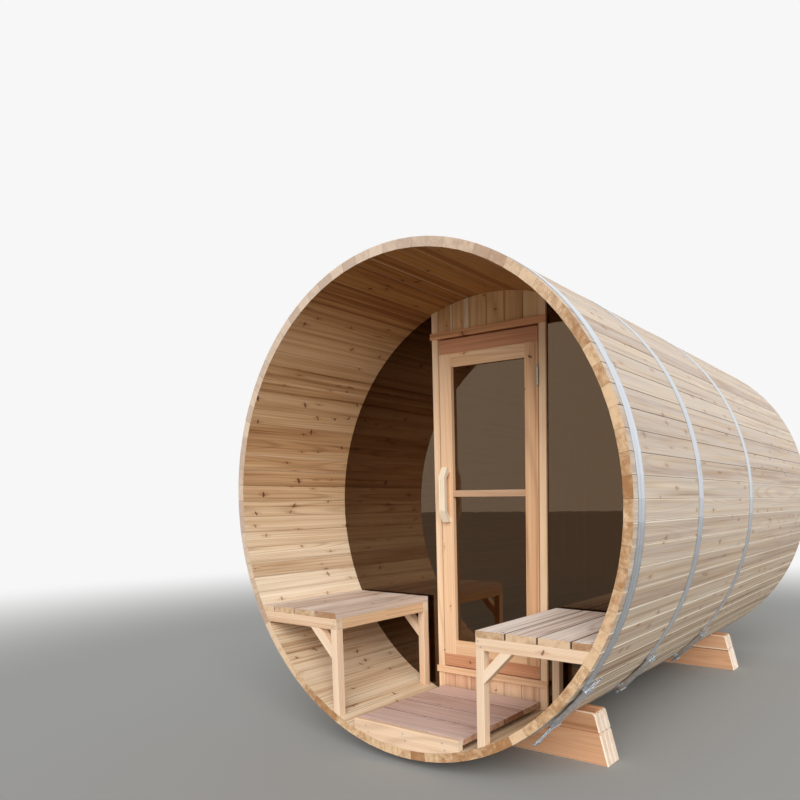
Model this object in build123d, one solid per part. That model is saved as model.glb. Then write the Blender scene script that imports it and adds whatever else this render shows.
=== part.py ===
from build123d import *
import math
import os

# Barrel sauna with an open porch, in millimetres.
# X runs to the right, Y from the open front to the back, Z up from the ground.
# The origin lies on the ground under the middle of the barrel.

# Barrel of staves, each with a rounded edge that seats in its neighbour's hollow edge
LENGTH = 2980
BARREL_RADIUS = 1067
STAVE_THICKNESS = 38
STAVE_COUNT = 84
STAVES_PER_GROUP = 7
STAVE_JOINT_GAP = 0.3
STAVE_EDGE_CHAMFER = 2.5
BALL_HEIGHT = 4
CROZE_DEPTH = 10
GROUND_GAP = 38

# Clearances between pieces that seat on each other, and the overshoot of cutting shapes
SEAT_GAP = 0.3
PANEL_FIT = 0.3
OVERCUT = 1

# Arrises taken off planed timber
EDGE_EASE = 1.5

# Hoops, placed from the front rim and from the front wall's face
FRONT_HOOP_SETBACK = 66
WALL_HOOP_SETBACK = 55
HOOP_WIDTH = 60
HOOP_THICKNESS = 1.5

# Tensioners, from the first hoop to the last: angle plates drawn together by two rods under a channel
TENSIONER_ANGLES = (-42.9, -43.9, -46.2)
TENSIONER_SPREAD = 10.7
BRACKET_HEIGHT = 28
BRACKET_FOOT = 30
BRACKET_THICKNESS = 4
RODS_ABOVE = (65, 29, 29)
RODS_BELOW = (130, 29, 29)
ROD_DIAMETER = 8
ROD_SIDES = 12
ROD_SPACING = 34
ROD_LIFT = 12
NUT_SIZE = 14
NUT_THICKNESS = 7
CHANNEL_DEPTH = 12
CHANNEL_THICKNESS = 2.5
CHANNEL_ABOVE_ROD = 1

# Cradles under the barrel, their front faces placed from the front rim and from the back rim
FRONT_CRADLE_SETBACK = 430
BACK_CRADLE_SETBACK = 660
CRADLE_LENGTH = 1540
CRADLE_PLIES = 3
CRADLE_PLY = 36
CRADLE_BEAM_HEIGHT = 140
CRADLE_BLOCK_HEIGHT = 89
CRADLE_END_SLOPE = 17
CRADLE_SHOULDER = 24
CRADLE_EASE = 5

# Front wall with the door column
PORCH_DEPTH = 634
POST_WIDTH = 38
POST_DEPTH = 64
STOP_WIDTH = 12
GLASS_THICKNESS = 8
GLASS_SETBACK = 12
GLASS_HOUSING = 8
TRIM_LIP = 8
TRIM_OVERHANG = 5
HEADER_HEIGHT = 31
SILL_HEIGHT = 34
SILL_ABOVE_DECK = 104
UPPER_BOARD_HEIGHT = 153
PANEL_THICKNESS = 25
PANEL_SETBACK = 8
BOARD_COVER = 105
LEAST_BOARD_WIDTH = 30
UPPER_JOINT_X = 0
LOWER_JOINT_X = -28
TONGUE_LENGTH = 6
TONGUE_THICKNESS = 7
BOARD_CHAMFER = 4

# Door leaf, hung on the right post
DOOR_WIDTH = 590
DOOR_THICKNESS = 38
HINGE_SIDE_GAP = 5
LATCH_SIDE_GAP = 7
DOOR_FOOT_GAP = 5
DOOR_HEAD_GAP = 8
STILE_WIDTH = 74
TOP_BOARD_HEIGHT = 70
FOOT_BOARD_HEIGHT = 64
TOP_RAIL_HEIGHT = 64
TOP_RAIL_BEVEL = 24
BOTTOM_RAIL_HEIGHT = 72
BOTTOM_RAIL_BEVEL = 8
RAIL_BEVEL_DEPTH = 10
MID_RAIL_HEIGHT = 33
MID_RAIL_ABOVE_FOOT = 885
DOOR_PANE_THICKNESS = 6
DOOR_PANE_SETBACK = 22
DOOR_PANE_HOUSING = 8
HINGE_COUNT = 2
HINGE_HEIGHT = 90
HINGE_END_DISTANCE = 225
HINGE_LEAF_THICKNESS = 2
HINGE_LEAF_DEPTH = 32
KNUCKLE_DIAMETER = 12
PIN_DIAMETER = 6
PIN_FIT = 0.3
HINGE_PIN_STANDOFF = 7

# Door handle, a bent grip of solid timber
HANDLE_FOOT_Z = 756
HANDLE_LENGTH = 280
HANDLE_STANDOFF = 50
HANDLE_GRIP_DEPTH = 22
HANDLE_WIDTH = 38
HANDLE_BEND = 60
HANDLE_TOE = 20
HANDLE_EASE = 4

# Porch floor
FASCIA_HEIGHT = 89
FASCIA_THICKNESS = 28
FASCIA_EASE = 4
TIMBER = 38
PORCH_FLOOR_WIDTH = 600
FLOOR_BOARD_THICKNESS = 25
PORCH_BOARD_COUNT = 4
BOARD_GAP = 5
JOIST_INSET = 80
FLOOR_END_GAP = 3

# Cabin floor
CABIN_BOARD_COUNT = 4
CABIN_BEARER_COUNT = 4

# Porch benches, one on each side
BENCH_INNER_X = 396
BENCH_TOP_ABOVE_DECK = 470
BENCH_SLAT_WIDTH = 137
BENCH_SLAT_GAP = 8
BENCH_SLAT_THICKNESS = 28
BENCH_APRON_HEIGHT = 50
BENCH_BRACE_REACH = 133

# Back wall
BACK_WALL_INSET = 60
BACK_WALL_THICKNESS = 38
BACK_BOARD_COVER = 140

# Derived places
FRONT = -LENGTH / 2
BACK = LENGTH / 2
PITCH_ANGLE = 360 / STAVE_COUNT
AXIS_Z = BARREL_RADIUS + GROUND_GAP
INNER_RADIUS = BARREL_RADIUS - STAVE_THICKNESS
CORNER_RADIUS = BARREL_RADIUS / math.cos(math.radians(PITCH_ANGLE / 2))
WALL_Y = FRONT + PORCH_DEPTH
DECK_Z = AXIS_Z - INNER_RADIUS + FASCIA_HEIGHT
OPENING_HALF = (DOOR_WIDTH + HINGE_SIDE_GAP + LATCH_SIDE_GAP) / 2
POST_OUTER = OPENING_HALF + POST_WIDTH
DOOR_RIGHT = OPENING_HALF - HINGE_SIDE_GAP
DOOR_LEFT = DOOR_RIGHT - DOOR_WIDTH
SILL_TOP = DECK_Z + SILL_ABOVE_DECK
DOOR_FOOT = SILL_TOP + DOOR_FOOT_GAP
HEADER_TOP = AXIS_Z + INNER_RADIUS - UPPER_BOARD_HEIGHT
HEADER_FOOT = HEADER_TOP - HEADER_HEIGHT
DOOR_TOP = HEADER_FOOT - DOOR_HEAD_GAP
DOOR_HEIGHT = DOOR_TOP - DOOR_FOOT
HINGE_X = DOOR_RIGHT + HINGE_SIDE_GAP / 2
HINGE_Y = WALL_Y - HINGE_PIN_STANDOFF
BENCH_TOP = DECK_Z + BENCH_TOP_ABOVE_DECK
BACK_WALL_Y = BACK - BACK_WALL_INSET - BACK_WALL_THICKNESS


def block(x_from, x_to, y_from, y_to, z_from, z_to):
    """A straight-sided timber between two corners."""
    size = Box(x_to - x_from, y_to - y_from, z_to - z_from)
    return Pos((x_from + x_to) / 2, (y_from + y_to) / 2, (z_from + z_to) / 2) * size


def timber(x_from, x_to, y_from, y_to, z_from, z_to):
    """A planed timber with the arrises along its length taken off."""
    lengths = {Axis.X: x_to - x_from, Axis.Y: y_to - y_from, Axis.Z: z_to - z_from}
    grain = max(lengths, key=lengths.get)
    piece = block(x_from, x_to, y_from, y_to, z_from, z_to)
    return chamfer(piece.edges().filter_by(grain), EDGE_EASE)


def prism_along_y(outline, y_from, y_to):
    """A solid whose outline in X and Z runs along the barrel."""
    section = Plane(origin=(0, y_from, 0), x_dir=(1, 0, 0), z_dir=(0, -1, 0))
    return extrude(section * outline, amount=y_from - y_to)


def prism_along_x(points_yz, x_from, x_to):
    """A solid whose outline in Y and Z runs across the barrel."""
    outline = make_face(Polyline(*points_yz, close=True))
    section = Plane(origin=(x_from, 0, 0), x_dir=(0, 1, 0), z_dir=(1, 0, 0))
    return extrude(section * outline, amount=x_to - x_from)


def barrel_cylinder(radius, y_from, y_to):
    """A cylinder on the barrel's axis."""
    centre = Pos(0, (y_from + y_to) / 2, AXIS_Z)
    return centre * Rot(90, 0, 0) * Cylinder(radius, y_to - y_from)


def scribed(piece):
    """A piece cut to the inside of the barrel, with its seat gap."""
    return piece & barrel_cylinder(INNER_RADIUS - SEAT_GAP, FRONT, BACK)


def mirrored(piece):
    """The same piece on the other side of the barrel."""
    return mirror(piece, about=Plane.YZ)


def write(name, *solids):
    """One file for each named piece."""
    shape = solids[0] if len(solids) == 1 else Compound(children=list(solids))
    export_step(shape, os.path.join("parts", name + ".step"))


def stave_outline():
    """Section of the top stave, with a ball along its right edge and a cove along its left."""
    lean = math.tan(math.radians(PITCH_ANGLE / 2))
    outer = BARREL_RADIUS
    inner = INNER_RADIUS
    shoulder = outer - STAVE_EDGE_CHAMFER
    middle = (shoulder + inner) / 2

    def edge(radius):
        return radius * lean - STAVE_JOINT_GAP / 2

    top_half = outer * lean - STAVE_EDGE_CHAMFER
    side = edge(shoulder)
    lip = edge(inner)
    ball = ThreePointArc((side, shoulder), (edge(middle) + BALL_HEIGHT, middle), (lip, inner))
    cove = ThreePointArc((-lip, inner), (BALL_HEIGHT - edge(middle), middle), (-side, shoulder))
    foot = Line((lip, inner), (-lip, inner))
    top = Polyline((-side, shoulder), (-top_half, outer), (top_half, outer), (side, shoulder))
    return make_face([ball, foot, cove, top])


def croze(y_from, thickness):
    """The groove across a stave that holds the edge of a wall."""
    half = BARREL_RADIUS
    return block(-half, half, y_from - PANEL_FIT, y_from + thickness + PANEL_FIT,
                 INNER_RADIUS - OVERCUT, INNER_RADIUS + CROZE_DEPTH)


def make_barrel():
    """Staves in groups that each close an equal part of the round wall."""
    stave = prism_along_y(stave_outline(), FRONT, BACK)
    stave -= croze(WALL_Y + GLASS_SETBACK, GLASS_THICKNESS)
    stave -= croze(BACK_WALL_Y, BACK_WALL_THICKNESS)
    for group in range(STAVE_COUNT // STAVES_PER_GROUP):
        first = group * STAVES_PER_GROUP
        turns = [(first + step) * PITCH_ANGLE for step in range(STAVES_PER_GROUP)]
        staves = [Pos(0, 0, AXIS_Z) * Rot(0, turn, 0) * stave for turn in turns]
        write(f"stave_group_{group + 1:02d}", *staves)


def stave_polygon(flat_radius):
    """The many-sided outline that a flat band takes round the staves."""
    return RegularPolygon(flat_radius, STAVE_COUNT, major_radius=False, rotation=PITCH_ANGLE / 2)


def sector(from_angle, to_angle):
    """A wedge from the barrel's axis that reaches past the hoops."""
    far = 2 * BARREL_RADIUS
    turns = [math.radians(angle) for angle in (from_angle, to_angle)]
    corners = [(far * math.cos(turn), far * math.sin(turn)) for turn in turns]
    return make_face(Polyline((0, 0), *corners, close=True))


def round_barrel(section, centre_y, width):
    """A band with this section round the barrel's axis."""
    return Pos(0, 0, AXIS_Z) * prism_along_y(section, centre_y - width / 2, centre_y + width / 2)


def on_band(shape, centre_y, angle):
    """Place a shape drawn at the right side of the axis at its angle on the hoop."""
    return Pos(0, centre_y, AXIS_Z) * Rot(0, -angle, 0) * shape


def make_hoop(number, centre_y, angle, above, below):
    """A flat band bent round the staves, with a gap that the tensioner closes."""
    inside = BARREL_RADIUS + SEAT_GAP
    half = TENSIONER_SPREAD / 2
    gap = sector(angle - half, angle + half)
    band = stave_polygon(inside + HOOP_THICKNESS) - stave_polygon(inside) - gap
    write(f"hoop_{number}", round_barrel(band, centre_y, HOOP_WIDTH))
    write(f"tensioner_{number}", make_tensioner(centre_y, angle, above, below))


def make_tensioner(centre_y, angle, above, below):
    """An angle plate on each end of the band, two threaded rods with nuts, and a channel over the rods."""
    band_top = (BARREL_RADIUS + SEAT_GAP + HOOP_THICKNESS) / math.cos(math.radians(PITCH_ANGLE / 2))
    half = TENSIONER_SPREAD / 2
    plates = []
    for end in (-1, 1):
        flange = Box(BRACKET_HEIGHT, HOOP_WIDTH, BRACKET_THICKNESS)
        foot = Box(BRACKET_THICKNESS, HOOP_WIDTH, BRACKET_FOOT)
        plate = Pos(band_top + BRACKET_HEIGHT / 2, 0, end * BRACKET_THICKNESS / 2) * flange
        plate += Pos(band_top + BRACKET_THICKNESS / 2, 0, end * BRACKET_FOOT / 2) * foot
        plates.append(on_band(plate, centre_y, angle + end * half))

    rod_radius = band_top + ROD_LIFT
    flange_reach = rod_radius * math.tan(math.radians(half)) + BRACKET_THICKNESS
    top = flange_reach + above
    foot = -flange_reach - below
    seats = (flange_reach + NUT_THICKNESS / 2, -flange_reach - NUT_THICKNESS / 2, foot + NUT_THICKNESS)
    nut = extrude(RegularPolygon(NUT_SIZE / 2, 6, major_radius=False), amount=NUT_THICKNESS / 2, both=True)
    rod = Pos(0, 0, foot) * extrude(RegularPolygon(ROD_DIAMETER / 2, ROD_SIDES), amount=top - foot)
    rod += [Pos(0, 0, seat) * nut for seat in seats]
    rods = [on_band(Pos(rod_radius, end * ROD_SPACING / 2, 0) * rod, centre_y, angle) for end in (-1, 1)]

    web = rod_radius + ROD_DIAMETER / 2 + CHANNEL_ABOVE_ROD
    channel = Box(CHANNEL_DEPTH, HOOP_WIDTH, 2 * flange_reach)
    channel -= Pos(-CHANNEL_THICKNESS, 0, 0) * Box(CHANNEL_DEPTH, HOOP_WIDTH - 2 * CHANNEL_THICKNESS, 2 * top)
    channel = Pos(web + CHANNEL_THICKNESS - CHANNEL_DEPTH / 2, 0, 0) * channel
    reach = half + math.degrees(BRACKET_THICKNESS / 2 / rod_radius)
    channel = on_band(channel, centre_y, angle)
    channel &= round_barrel(sector(angle - reach, angle + reach), centre_y, HOOP_WIDTH)
    return rods[0] + rods[1] + plates + channel


def make_cradle(name, front):
    """Plies side by side, each of a beam and two end blocks cut to the barrel, with sloping ends."""
    half = CRADLE_LENGTH / 2
    top = CRADLE_BEAM_HEIGHT + CRADLE_BLOCK_HEIGHT
    run = top * math.tan(math.radians(CRADLE_END_SLOPE))
    outline = make_face(Polyline((-half, 0), (half, 0), (half - run, top), (run - half, top), close=True))
    outline = fillet(outline.vertices().sort_by(Axis.Y)[-2:], CRADLE_SHOULDER)
    joint = CRADLE_BEAM_HEIGHT
    pitch = CRADLE_PLY + SEAT_GAP
    seat = barrel_cylinder(CORNER_RADIUS + SEAT_GAP, front - OVERCUT, front + CRADLE_PLIES * pitch)
    timbers = []
    for index in range(CRADLE_PLIES):
        y_from = front + index * pitch
        y_to = y_from + CRADLE_PLY
        ply = prism_along_y(outline, y_from, y_to)
        for z_from, z_to in ((0, joint), (joint + SEAT_GAP, top)):
            piece = ply & block(-half, half, y_from, y_to, z_from, z_to)
            piece = chamfer(piece.edges(), CRADLE_EASE) - seat
            timbers += piece.solids()
    write(name, *timbers)


def board_outline(width, thickness, tongue, groove, shown):
    """Section of a board: a V-joint's half on both edges of its shown side, a tongue right, a groove left."""
    outline = Rectangle(width, thickness)
    outline = chamfer([corner for corner in outline.vertices() if corner.Y * shown > 0], BOARD_CHAMFER)
    if groove:
        slot = Rectangle(2 * (TONGUE_LENGTH + PANEL_FIT), TONGUE_THICKNESS + 2 * PANEL_FIT)
        outline -= Pos(-width / 2, 0) * slot
    if tongue:
        outline += Pos(width / 2, 0) * Rectangle(2 * TONGUE_LENGTH, TONGUE_THICKNESS)
    return outline


def board_wall(x_from, x_to, joint_x, cover, y_from, thickness, z_from, z_to, shown=-1):
    """Upright tongued boards from side to side, with a joint at one given place."""
    first = math.ceil((x_from + LEAST_BOARD_WIDTH - joint_x) / cover)
    last = math.floor((x_to - LEAST_BOARD_WIDTH - joint_x) / cover)
    sides = [x_from] + [joint_x + step * cover for step in range(first, last + 1)] + [x_to]
    boards = []
    for left, right in zip(sides, sides[1:]):
        outline = board_outline(right - left - PANEL_FIT, thickness, right < x_to, left > x_from, shown)
        centre = Pos((left + right) / 2, y_from + thickness / 2, z_from)
        boards.append(centre * extrude(outline, amount=z_to - z_from))
    return boards


def make_front_wall():
    """Posts, header, sill, boarding and the two tinted side panes."""
    glass_y = WALL_Y + GLASS_SETBACK
    glass_back = glass_y + GLASS_THICKNESS
    post_back = WALL_Y + POST_DEPTH
    post = timber(OPENING_HALF, POST_OUTER, WALL_Y, post_back, 0, 2 * AXIS_Z)
    stop_y = WALL_Y + DOOR_THICKNESS + HINGE_SIDE_GAP
    post += timber(OPENING_HALF - STOP_WIDTH, OPENING_HALF, stop_y, post_back, SILL_TOP, HEADER_FOOT)
    post -= block(POST_OUTER - GLASS_HOUSING - PANEL_FIT, POST_OUTER + OVERCUT, glass_y - PANEL_FIT,
                  glass_back + PANEL_FIT, 0, 2 * AXIS_Z)
    post = scribed(post)
    write("front_wall_right_post", post)
    write("front_wall_left_post", mirrored(post))

    sill_foot = SILL_TOP - SILL_HEIGHT
    lip_end = POST_OUTER + TRIM_OVERHANG
    for name, z_from, z_to in (("header", HEADER_FOOT, HEADER_TOP), ("sill", sill_foot, SILL_TOP)):
        lip = timber(-lip_end, lip_end, WALL_Y - TRIM_LIP, WALL_Y, z_from, z_to)
        rail = block(-OPENING_HALF, OPENING_HALF, WALL_Y, post_back, z_from, z_to)
        write("front_wall_" + name, lip + rail)

    panel_y = WALL_Y + PANEL_SETBACK
    upper = board_wall(-OPENING_HALF, OPENING_HALF, UPPER_JOINT_X, BOARD_COVER, panel_y, PANEL_THICKNESS,
                       HEADER_TOP, 2 * AXIS_Z)
    lower = board_wall(-OPENING_HALF, OPENING_HALF, LOWER_JOINT_X, BOARD_COVER, panel_y, PANEL_THICKNESS,
                       0, sill_foot)
    write("front_wall_upper_boards", *[scribed(board) for board in upper])
    write("front_wall_lower_boards", *[scribed(board) for board in lower])

    pane = barrel_cylinder(INNER_RADIUS + CROZE_DEPTH - SEAT_GAP, glass_y, glass_back)
    pane &= block(POST_OUTER - GLASS_HOUSING, BARREL_RADIUS, glass_y, glass_back, 0, 2 * AXIS_Z)
    write("right_side_glass", pane)
    write("left_side_glass", mirrored(pane))


def make_back_wall():
    """Tongued boards set in the groove at the back of the barrel."""
    radius = INNER_RADIUS + CROZE_DEPTH - SEAT_GAP
    boards = board_wall(-radius, radius, BACK_BOARD_COVER / 2, BACK_BOARD_COVER, BACK_WALL_Y,
                        BACK_WALL_THICKNESS, 0, 2 * AXIS_Z, shown=1)
    disc = barrel_cylinder(radius, BACK_WALL_Y - OVERCUT, BACK_WALL_Y + BACK_WALL_THICKNESS + OVERCUT)
    write("back_wall", *[board & disc for board in boards])


def rail_bevel(glass_edge, height):
    """The wedge taken off the face of a rail beside its pane."""
    points = [(WALL_Y, glass_edge), (WALL_Y, glass_edge + height), (WALL_Y + RAIL_BEVEL_DEPTH, glass_edge)]
    return prism_along_x(points, DOOR_LEFT + STILE_WIDTH, DOOR_RIGHT - STILE_WIDTH)


def make_door():
    """A framed leaf with two panes, end boards, a bent grip and butt hinges."""
    back = WALL_Y + DOOR_THICKNESS
    stile_foot = DOOR_FOOT + FOOT_BOARD_HEIGHT
    stile_top = DOOR_TOP - TOP_BOARD_HEIGHT
    glass_left = DOOR_LEFT + STILE_WIDTH
    glass_right = DOOR_RIGHT - STILE_WIDTH
    glass_foot = stile_foot + BOTTOM_RAIL_HEIGHT
    glass_top = stile_top - TOP_RAIL_HEIGHT
    mid_foot = DOOR_FOOT + MID_RAIL_ABOVE_FOOT
    mid_top = mid_foot + MID_RAIL_HEIGHT
    pane_y = WALL_Y + DOOR_PANE_SETBACK

    def pane(z_from, z_to, fit):
        deep = DOOR_PANE_HOUSING + fit
        return block(glass_left - deep, glass_right + deep, pane_y - fit, pane_y + DOOR_PANE_THICKNESS + fit,
                     z_from - deep, z_to + deep)

    spans = ((glass_foot, mid_foot), (mid_top, glass_top))
    housings = pane(*spans[0], PANEL_FIT) + pane(*spans[1], PANEL_FIT)
    stiles = [timber(x_from, x_to, WALL_Y, back, stile_foot, stile_top)
              for x_from, x_to in ((DOOR_LEFT, glass_left), (glass_right, DOOR_RIGHT))]
    top_rail = timber(glass_left, glass_right, WALL_Y, back, glass_top, stile_top)
    mid_rail = timber(glass_left, glass_right, WALL_Y, back, mid_foot, mid_top)
    bottom_rail = timber(glass_left, glass_right, WALL_Y, back, stile_foot, glass_foot)
    top_rail -= rail_bevel(glass_top, TOP_RAIL_BEVEL)
    bottom_rail -= rail_bevel(glass_foot, -BOTTOM_RAIL_BEVEL)
    end_boards = [timber(DOOR_LEFT, DOOR_RIGHT, WALL_Y, back, z_from, z_to)
                  for z_from, z_to in ((DOOR_FOOT, stile_foot), (stile_top, DOOR_TOP))]
    write("door_stiles", *[stile - housings for stile in stiles])
    write("door_rails", *[rail - housings for rail in (bottom_rail, mid_rail, top_rail)])
    write("door_end_boards", *end_boards)
    write("door_glass", pane(*spans[0], 0), pane(*spans[1], 0))
    make_handle()
    make_hinges()


def make_handle():
    """The grip leaves the leaf at both ends, bends out and runs upright."""
    foot = DOOR_FOOT + HANDLE_FOOT_Z
    top = foot + HANDLE_LENGTH
    out = WALL_Y - HANDLE_STANDOFF
    inside = out + HANDLE_GRIP_DEPTH
    slope = HANDLE_BEND * (1 - HANDLE_GRIP_DEPTH / HANDLE_STANDOFF)
    toe = WALL_Y - HANDLE_TOE
    points = [(WALL_Y, foot), (toe, foot), (out, foot + HANDLE_BEND), (out, top - HANDLE_BEND),
              (toe, top), (WALL_Y, top), (WALL_Y, top - HANDLE_GRIP_DEPTH),
              (inside, top - HANDLE_GRIP_DEPTH - slope), (inside, foot + HANDLE_GRIP_DEPTH + slope),
              (WALL_Y, foot + HANDLE_GRIP_DEPTH)]
    centre = DOOR_LEFT + STILE_WIDTH / 2
    grip = prism_along_x(points, centre - HANDLE_WIDTH / 2, centre + HANDLE_WIDTH / 2)
    outer_edges = grip.edges().group_by(Axis.Y)[0]
    write("door_handle", chamfer(outer_edges, HANDLE_EASE))


def make_hinges():
    """Butt hinges: the leaf's plates turn on pins held by the post's plates."""
    span = DOOR_HEIGHT - 2 * HINGE_END_DISTANCE
    knuckle = HINGE_HEIGHT / 3
    plate_end = WALL_Y + HINGE_LEAF_DEPTH
    leaf_side = []
    post_side = []
    for index in range(HINGE_COUNT):
        centre = DOOR_FOOT + HINGE_END_DISTANCE + index * span / (HINGE_COUNT - 1)
        foot = centre - HINGE_HEIGHT / 2
        axis = Pos(HINGE_X, HINGE_Y, centre)
        moving = axis * Cylinder(KNUCKLE_DIAMETER / 2, knuckle - 2 * PIN_FIT)
        moving += block(DOOR_RIGHT, DOOR_RIGHT + HINGE_LEAF_THICKNESS, HINGE_Y, plate_end,
                        centre - knuckle / 2 + PIN_FIT, centre + knuckle / 2 - PIN_FIT)
        moving -= axis * Cylinder(PIN_DIAMETER / 2 + PIN_FIT, HINGE_HEIGHT)
        leaf_side.append(moving)
        fixed = axis * Cylinder(PIN_DIAMETER / 2, HINGE_HEIGHT)
        for end in (-1, 1):
            fixed += Pos(HINGE_X, HINGE_Y, centre + end * knuckle) * Cylinder(KNUCKLE_DIAMETER / 2, knuckle)
        plate = block(OPENING_HALF - HINGE_LEAF_THICKNESS, OPENING_HALF, HINGE_Y, plate_end,
                      foot, foot + HINGE_HEIGHT)
        plate -= axis * Cylinder(KNUCKLE_DIAMETER / 2 + PIN_FIT, knuckle)
        post_side.append(fixed + plate)
    write("door_hinge_leaves", *leaf_side)
    write("post_hinge_leaves", *post_side)


def make_porch_floor():
    """Boards across the porch on three sleepers, closed in front by a fascia."""
    half = PORCH_FLOOR_WIDTH / 2
    board_foot = DECK_Z - FLOOR_BOARD_THICKNESS
    fascia_back = FRONT + FASCIA_THICKNESS
    fascia = block(-half, half, FRONT, fascia_back, 0, DECK_Z)
    fascia = chamfer(fascia.edges().filter_by(Axis.X).group_by(Axis.Z)[-1], FASCIA_EASE)
    start = fascia_back + BOARD_GAP
    end = WALL_Y - TRIM_LIP - FLOOR_END_GAP
    pitch = (end - start + BOARD_GAP) / PORCH_BOARD_COUNT
    fronts = [start + index * pitch for index in range(PORCH_BOARD_COUNT)]
    boards = [timber(-half, half, front, front + pitch - BOARD_GAP, board_foot, DECK_Z) for front in fronts]
    side = half - JOIST_INSET
    joists = [scribed(block(x - TIMBER / 2, x + TIMBER / 2, fascia_back, end, 0, board_foot))
              for x in (-side, 0, side)]
    write("porch_floor_fascia", scribed(fascia))
    write("porch_floor_boards", *boards)
    write("porch_floor_joists", *joists)


def make_cabin_floor():
    """Boards along the cabin on bearers cut to the barrel."""
    half = PORCH_FLOOR_WIDTH / 2
    board_foot = DECK_Z - FLOOR_BOARD_THICKNESS
    start = WALL_Y + POST_DEPTH + FLOOR_END_GAP
    end = BACK_WALL_Y - FLOOR_END_GAP
    pitch = (PORCH_FLOOR_WIDTH + BOARD_GAP) / CABIN_BOARD_COUNT
    lefts = [-half + index * pitch for index in range(CABIN_BOARD_COUNT)]
    boards = [timber(left, left + pitch - BOARD_GAP, start, end, board_foot, DECK_Z) for left in lefts]
    step = (end - start - TIMBER) / (CABIN_BEARER_COUNT - 1)
    fronts = [start + index * step for index in range(CABIN_BEARER_COUNT)]
    bearers = [scribed(block(-half, half, front, front + TIMBER, 0, board_foot)) for front in fronts]
    write("cabin_floor_boards", *boards)
    write("cabin_floor_bearers", *bearers)


def bench_end_frame(y_from):
    """Leg, apron and brace of one end of the right bench."""
    y_to = y_from + TIMBER
    apron_top = BENCH_TOP - BENCH_SLAT_THICKNESS
    apron_foot = apron_top - BENCH_APRON_HEIGHT
    leg_right = BENCH_INNER_X + TIMBER
    leg = timber(BENCH_INNER_X, leg_right, y_from, y_to, 0, apron_top)
    apron = timber(BENCH_INNER_X + TIMBER / 2, BARREL_RADIUS, y_from, y_to, apron_foot, apron_top)
    width = TIMBER * math.sqrt(2)
    reach = BENCH_BRACE_REACH
    brace_outline = make_face(Polyline((leg_right, apron_foot - reach), (leg_right + reach, apron_foot),
                                       (leg_right + reach - width, apron_foot),
                                       (leg_right, apron_foot - reach + width), close=True))
    return leg + apron + prism_along_y(brace_outline, y_from, y_to)


def make_benches():
    """A slatted bench on each side, its outer slat cut to the barrel."""
    end = WALL_Y - TRIM_LIP - FLOOR_END_GAP
    apron_top = BENCH_TOP - BENCH_SLAT_THICKNESS
    frame = bench_end_frame(FRONT) + bench_end_frame(end - TIMBER)
    frame += timber(BENCH_INNER_X, BENCH_INNER_X + TIMBER, FRONT + TIMBER, end - TIMBER,
                    apron_top - BENCH_APRON_HEIGHT, apron_top)
    frame = scribed(frame)
    reach = math.sqrt((INNER_RADIUS - SEAT_GAP) ** 2 - (AXIS_Z - apron_top) ** 2)
    pitch = BENCH_SLAT_WIDTH + BENCH_SLAT_GAP
    count = math.ceil((reach - LEAST_BOARD_WIDTH - BENCH_INNER_X) / pitch)
    starts = [BENCH_INNER_X + index * pitch for index in range(count)]
    slats = [scribed(timber(x, x + BENCH_SLAT_WIDTH, FRONT, end, apron_top, BENCH_TOP)) for x in starts]
    write("right_bench_frame", frame)
    write("right_bench_slats", *slats)
    write("left_bench_frame", mirrored(frame))
    write("left_bench_slats", *[mirrored(slat) for slat in slats])


os.makedirs("parts", exist_ok=True)
make_barrel()
hoop_places = (FRONT + FRONT_HOOP_SETBACK, WALL_Y + WALL_HOOP_SETBACK, (FRONT + BACK) / 2)
fittings = zip(hoop_places, TENSIONER_ANGLES, RODS_ABOVE, RODS_BELOW)
for number, (place, angle, above, below) in enumerate(fittings, start=1):
    make_hoop(number, place, angle, above, below)
make_cradle("front_cradle", FRONT + FRONT_CRADLE_SETBACK)
make_cradle("back_cradle", BACK - BACK_CRADLE_SETBACK)
make_front_wall()
make_back_wall()
make_door()
make_porch_floor()
make_cabin_floor()
make_benches()
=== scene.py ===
# %% [markdown]
# # A barrel sauna, dressed around its measured frame
#
# The solids of the sauna are already built at their real size: staves, hoops, cradles, benches, the front
# wall and the door. This lesson gives them their looks. It sets a camera and a plain studio, mixes every
# material from maths, and models the small hardware that is too fine for the solids. Pictures of timber
# could be wrapped round the boards instead, but a picture repeats and stretches, and maths does neither.

# %% Open the frame
import math

import bmesh
import bpy
from mathutils import Matrix, Vector


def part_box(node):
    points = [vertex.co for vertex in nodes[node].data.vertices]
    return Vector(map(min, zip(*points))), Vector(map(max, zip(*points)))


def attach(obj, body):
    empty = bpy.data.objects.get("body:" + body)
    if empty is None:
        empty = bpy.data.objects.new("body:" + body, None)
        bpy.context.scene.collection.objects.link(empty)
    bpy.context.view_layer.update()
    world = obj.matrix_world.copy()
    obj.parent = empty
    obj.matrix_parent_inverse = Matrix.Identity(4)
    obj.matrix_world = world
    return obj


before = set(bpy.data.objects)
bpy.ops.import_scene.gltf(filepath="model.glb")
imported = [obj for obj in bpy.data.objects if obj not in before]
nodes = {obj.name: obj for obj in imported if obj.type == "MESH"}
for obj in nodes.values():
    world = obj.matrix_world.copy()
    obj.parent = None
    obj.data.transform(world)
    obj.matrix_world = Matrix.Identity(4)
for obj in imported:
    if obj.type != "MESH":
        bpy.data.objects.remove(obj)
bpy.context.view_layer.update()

# %% [markdown]
# ## Where things are
#
# A barrel is drawn round one line, its axis, so nearly every pattern on it is measured from that line. The
# numbers could be copied from the drawing, but a copied number goes wrong when the drawing changes. So they
# are measured on the solids. The hoops are the only pieces that go right round the barrel, and the middle of
# one hoop's box gives the axis. Of the barrel, only its number of staves and their thickness are typed in.

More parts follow.
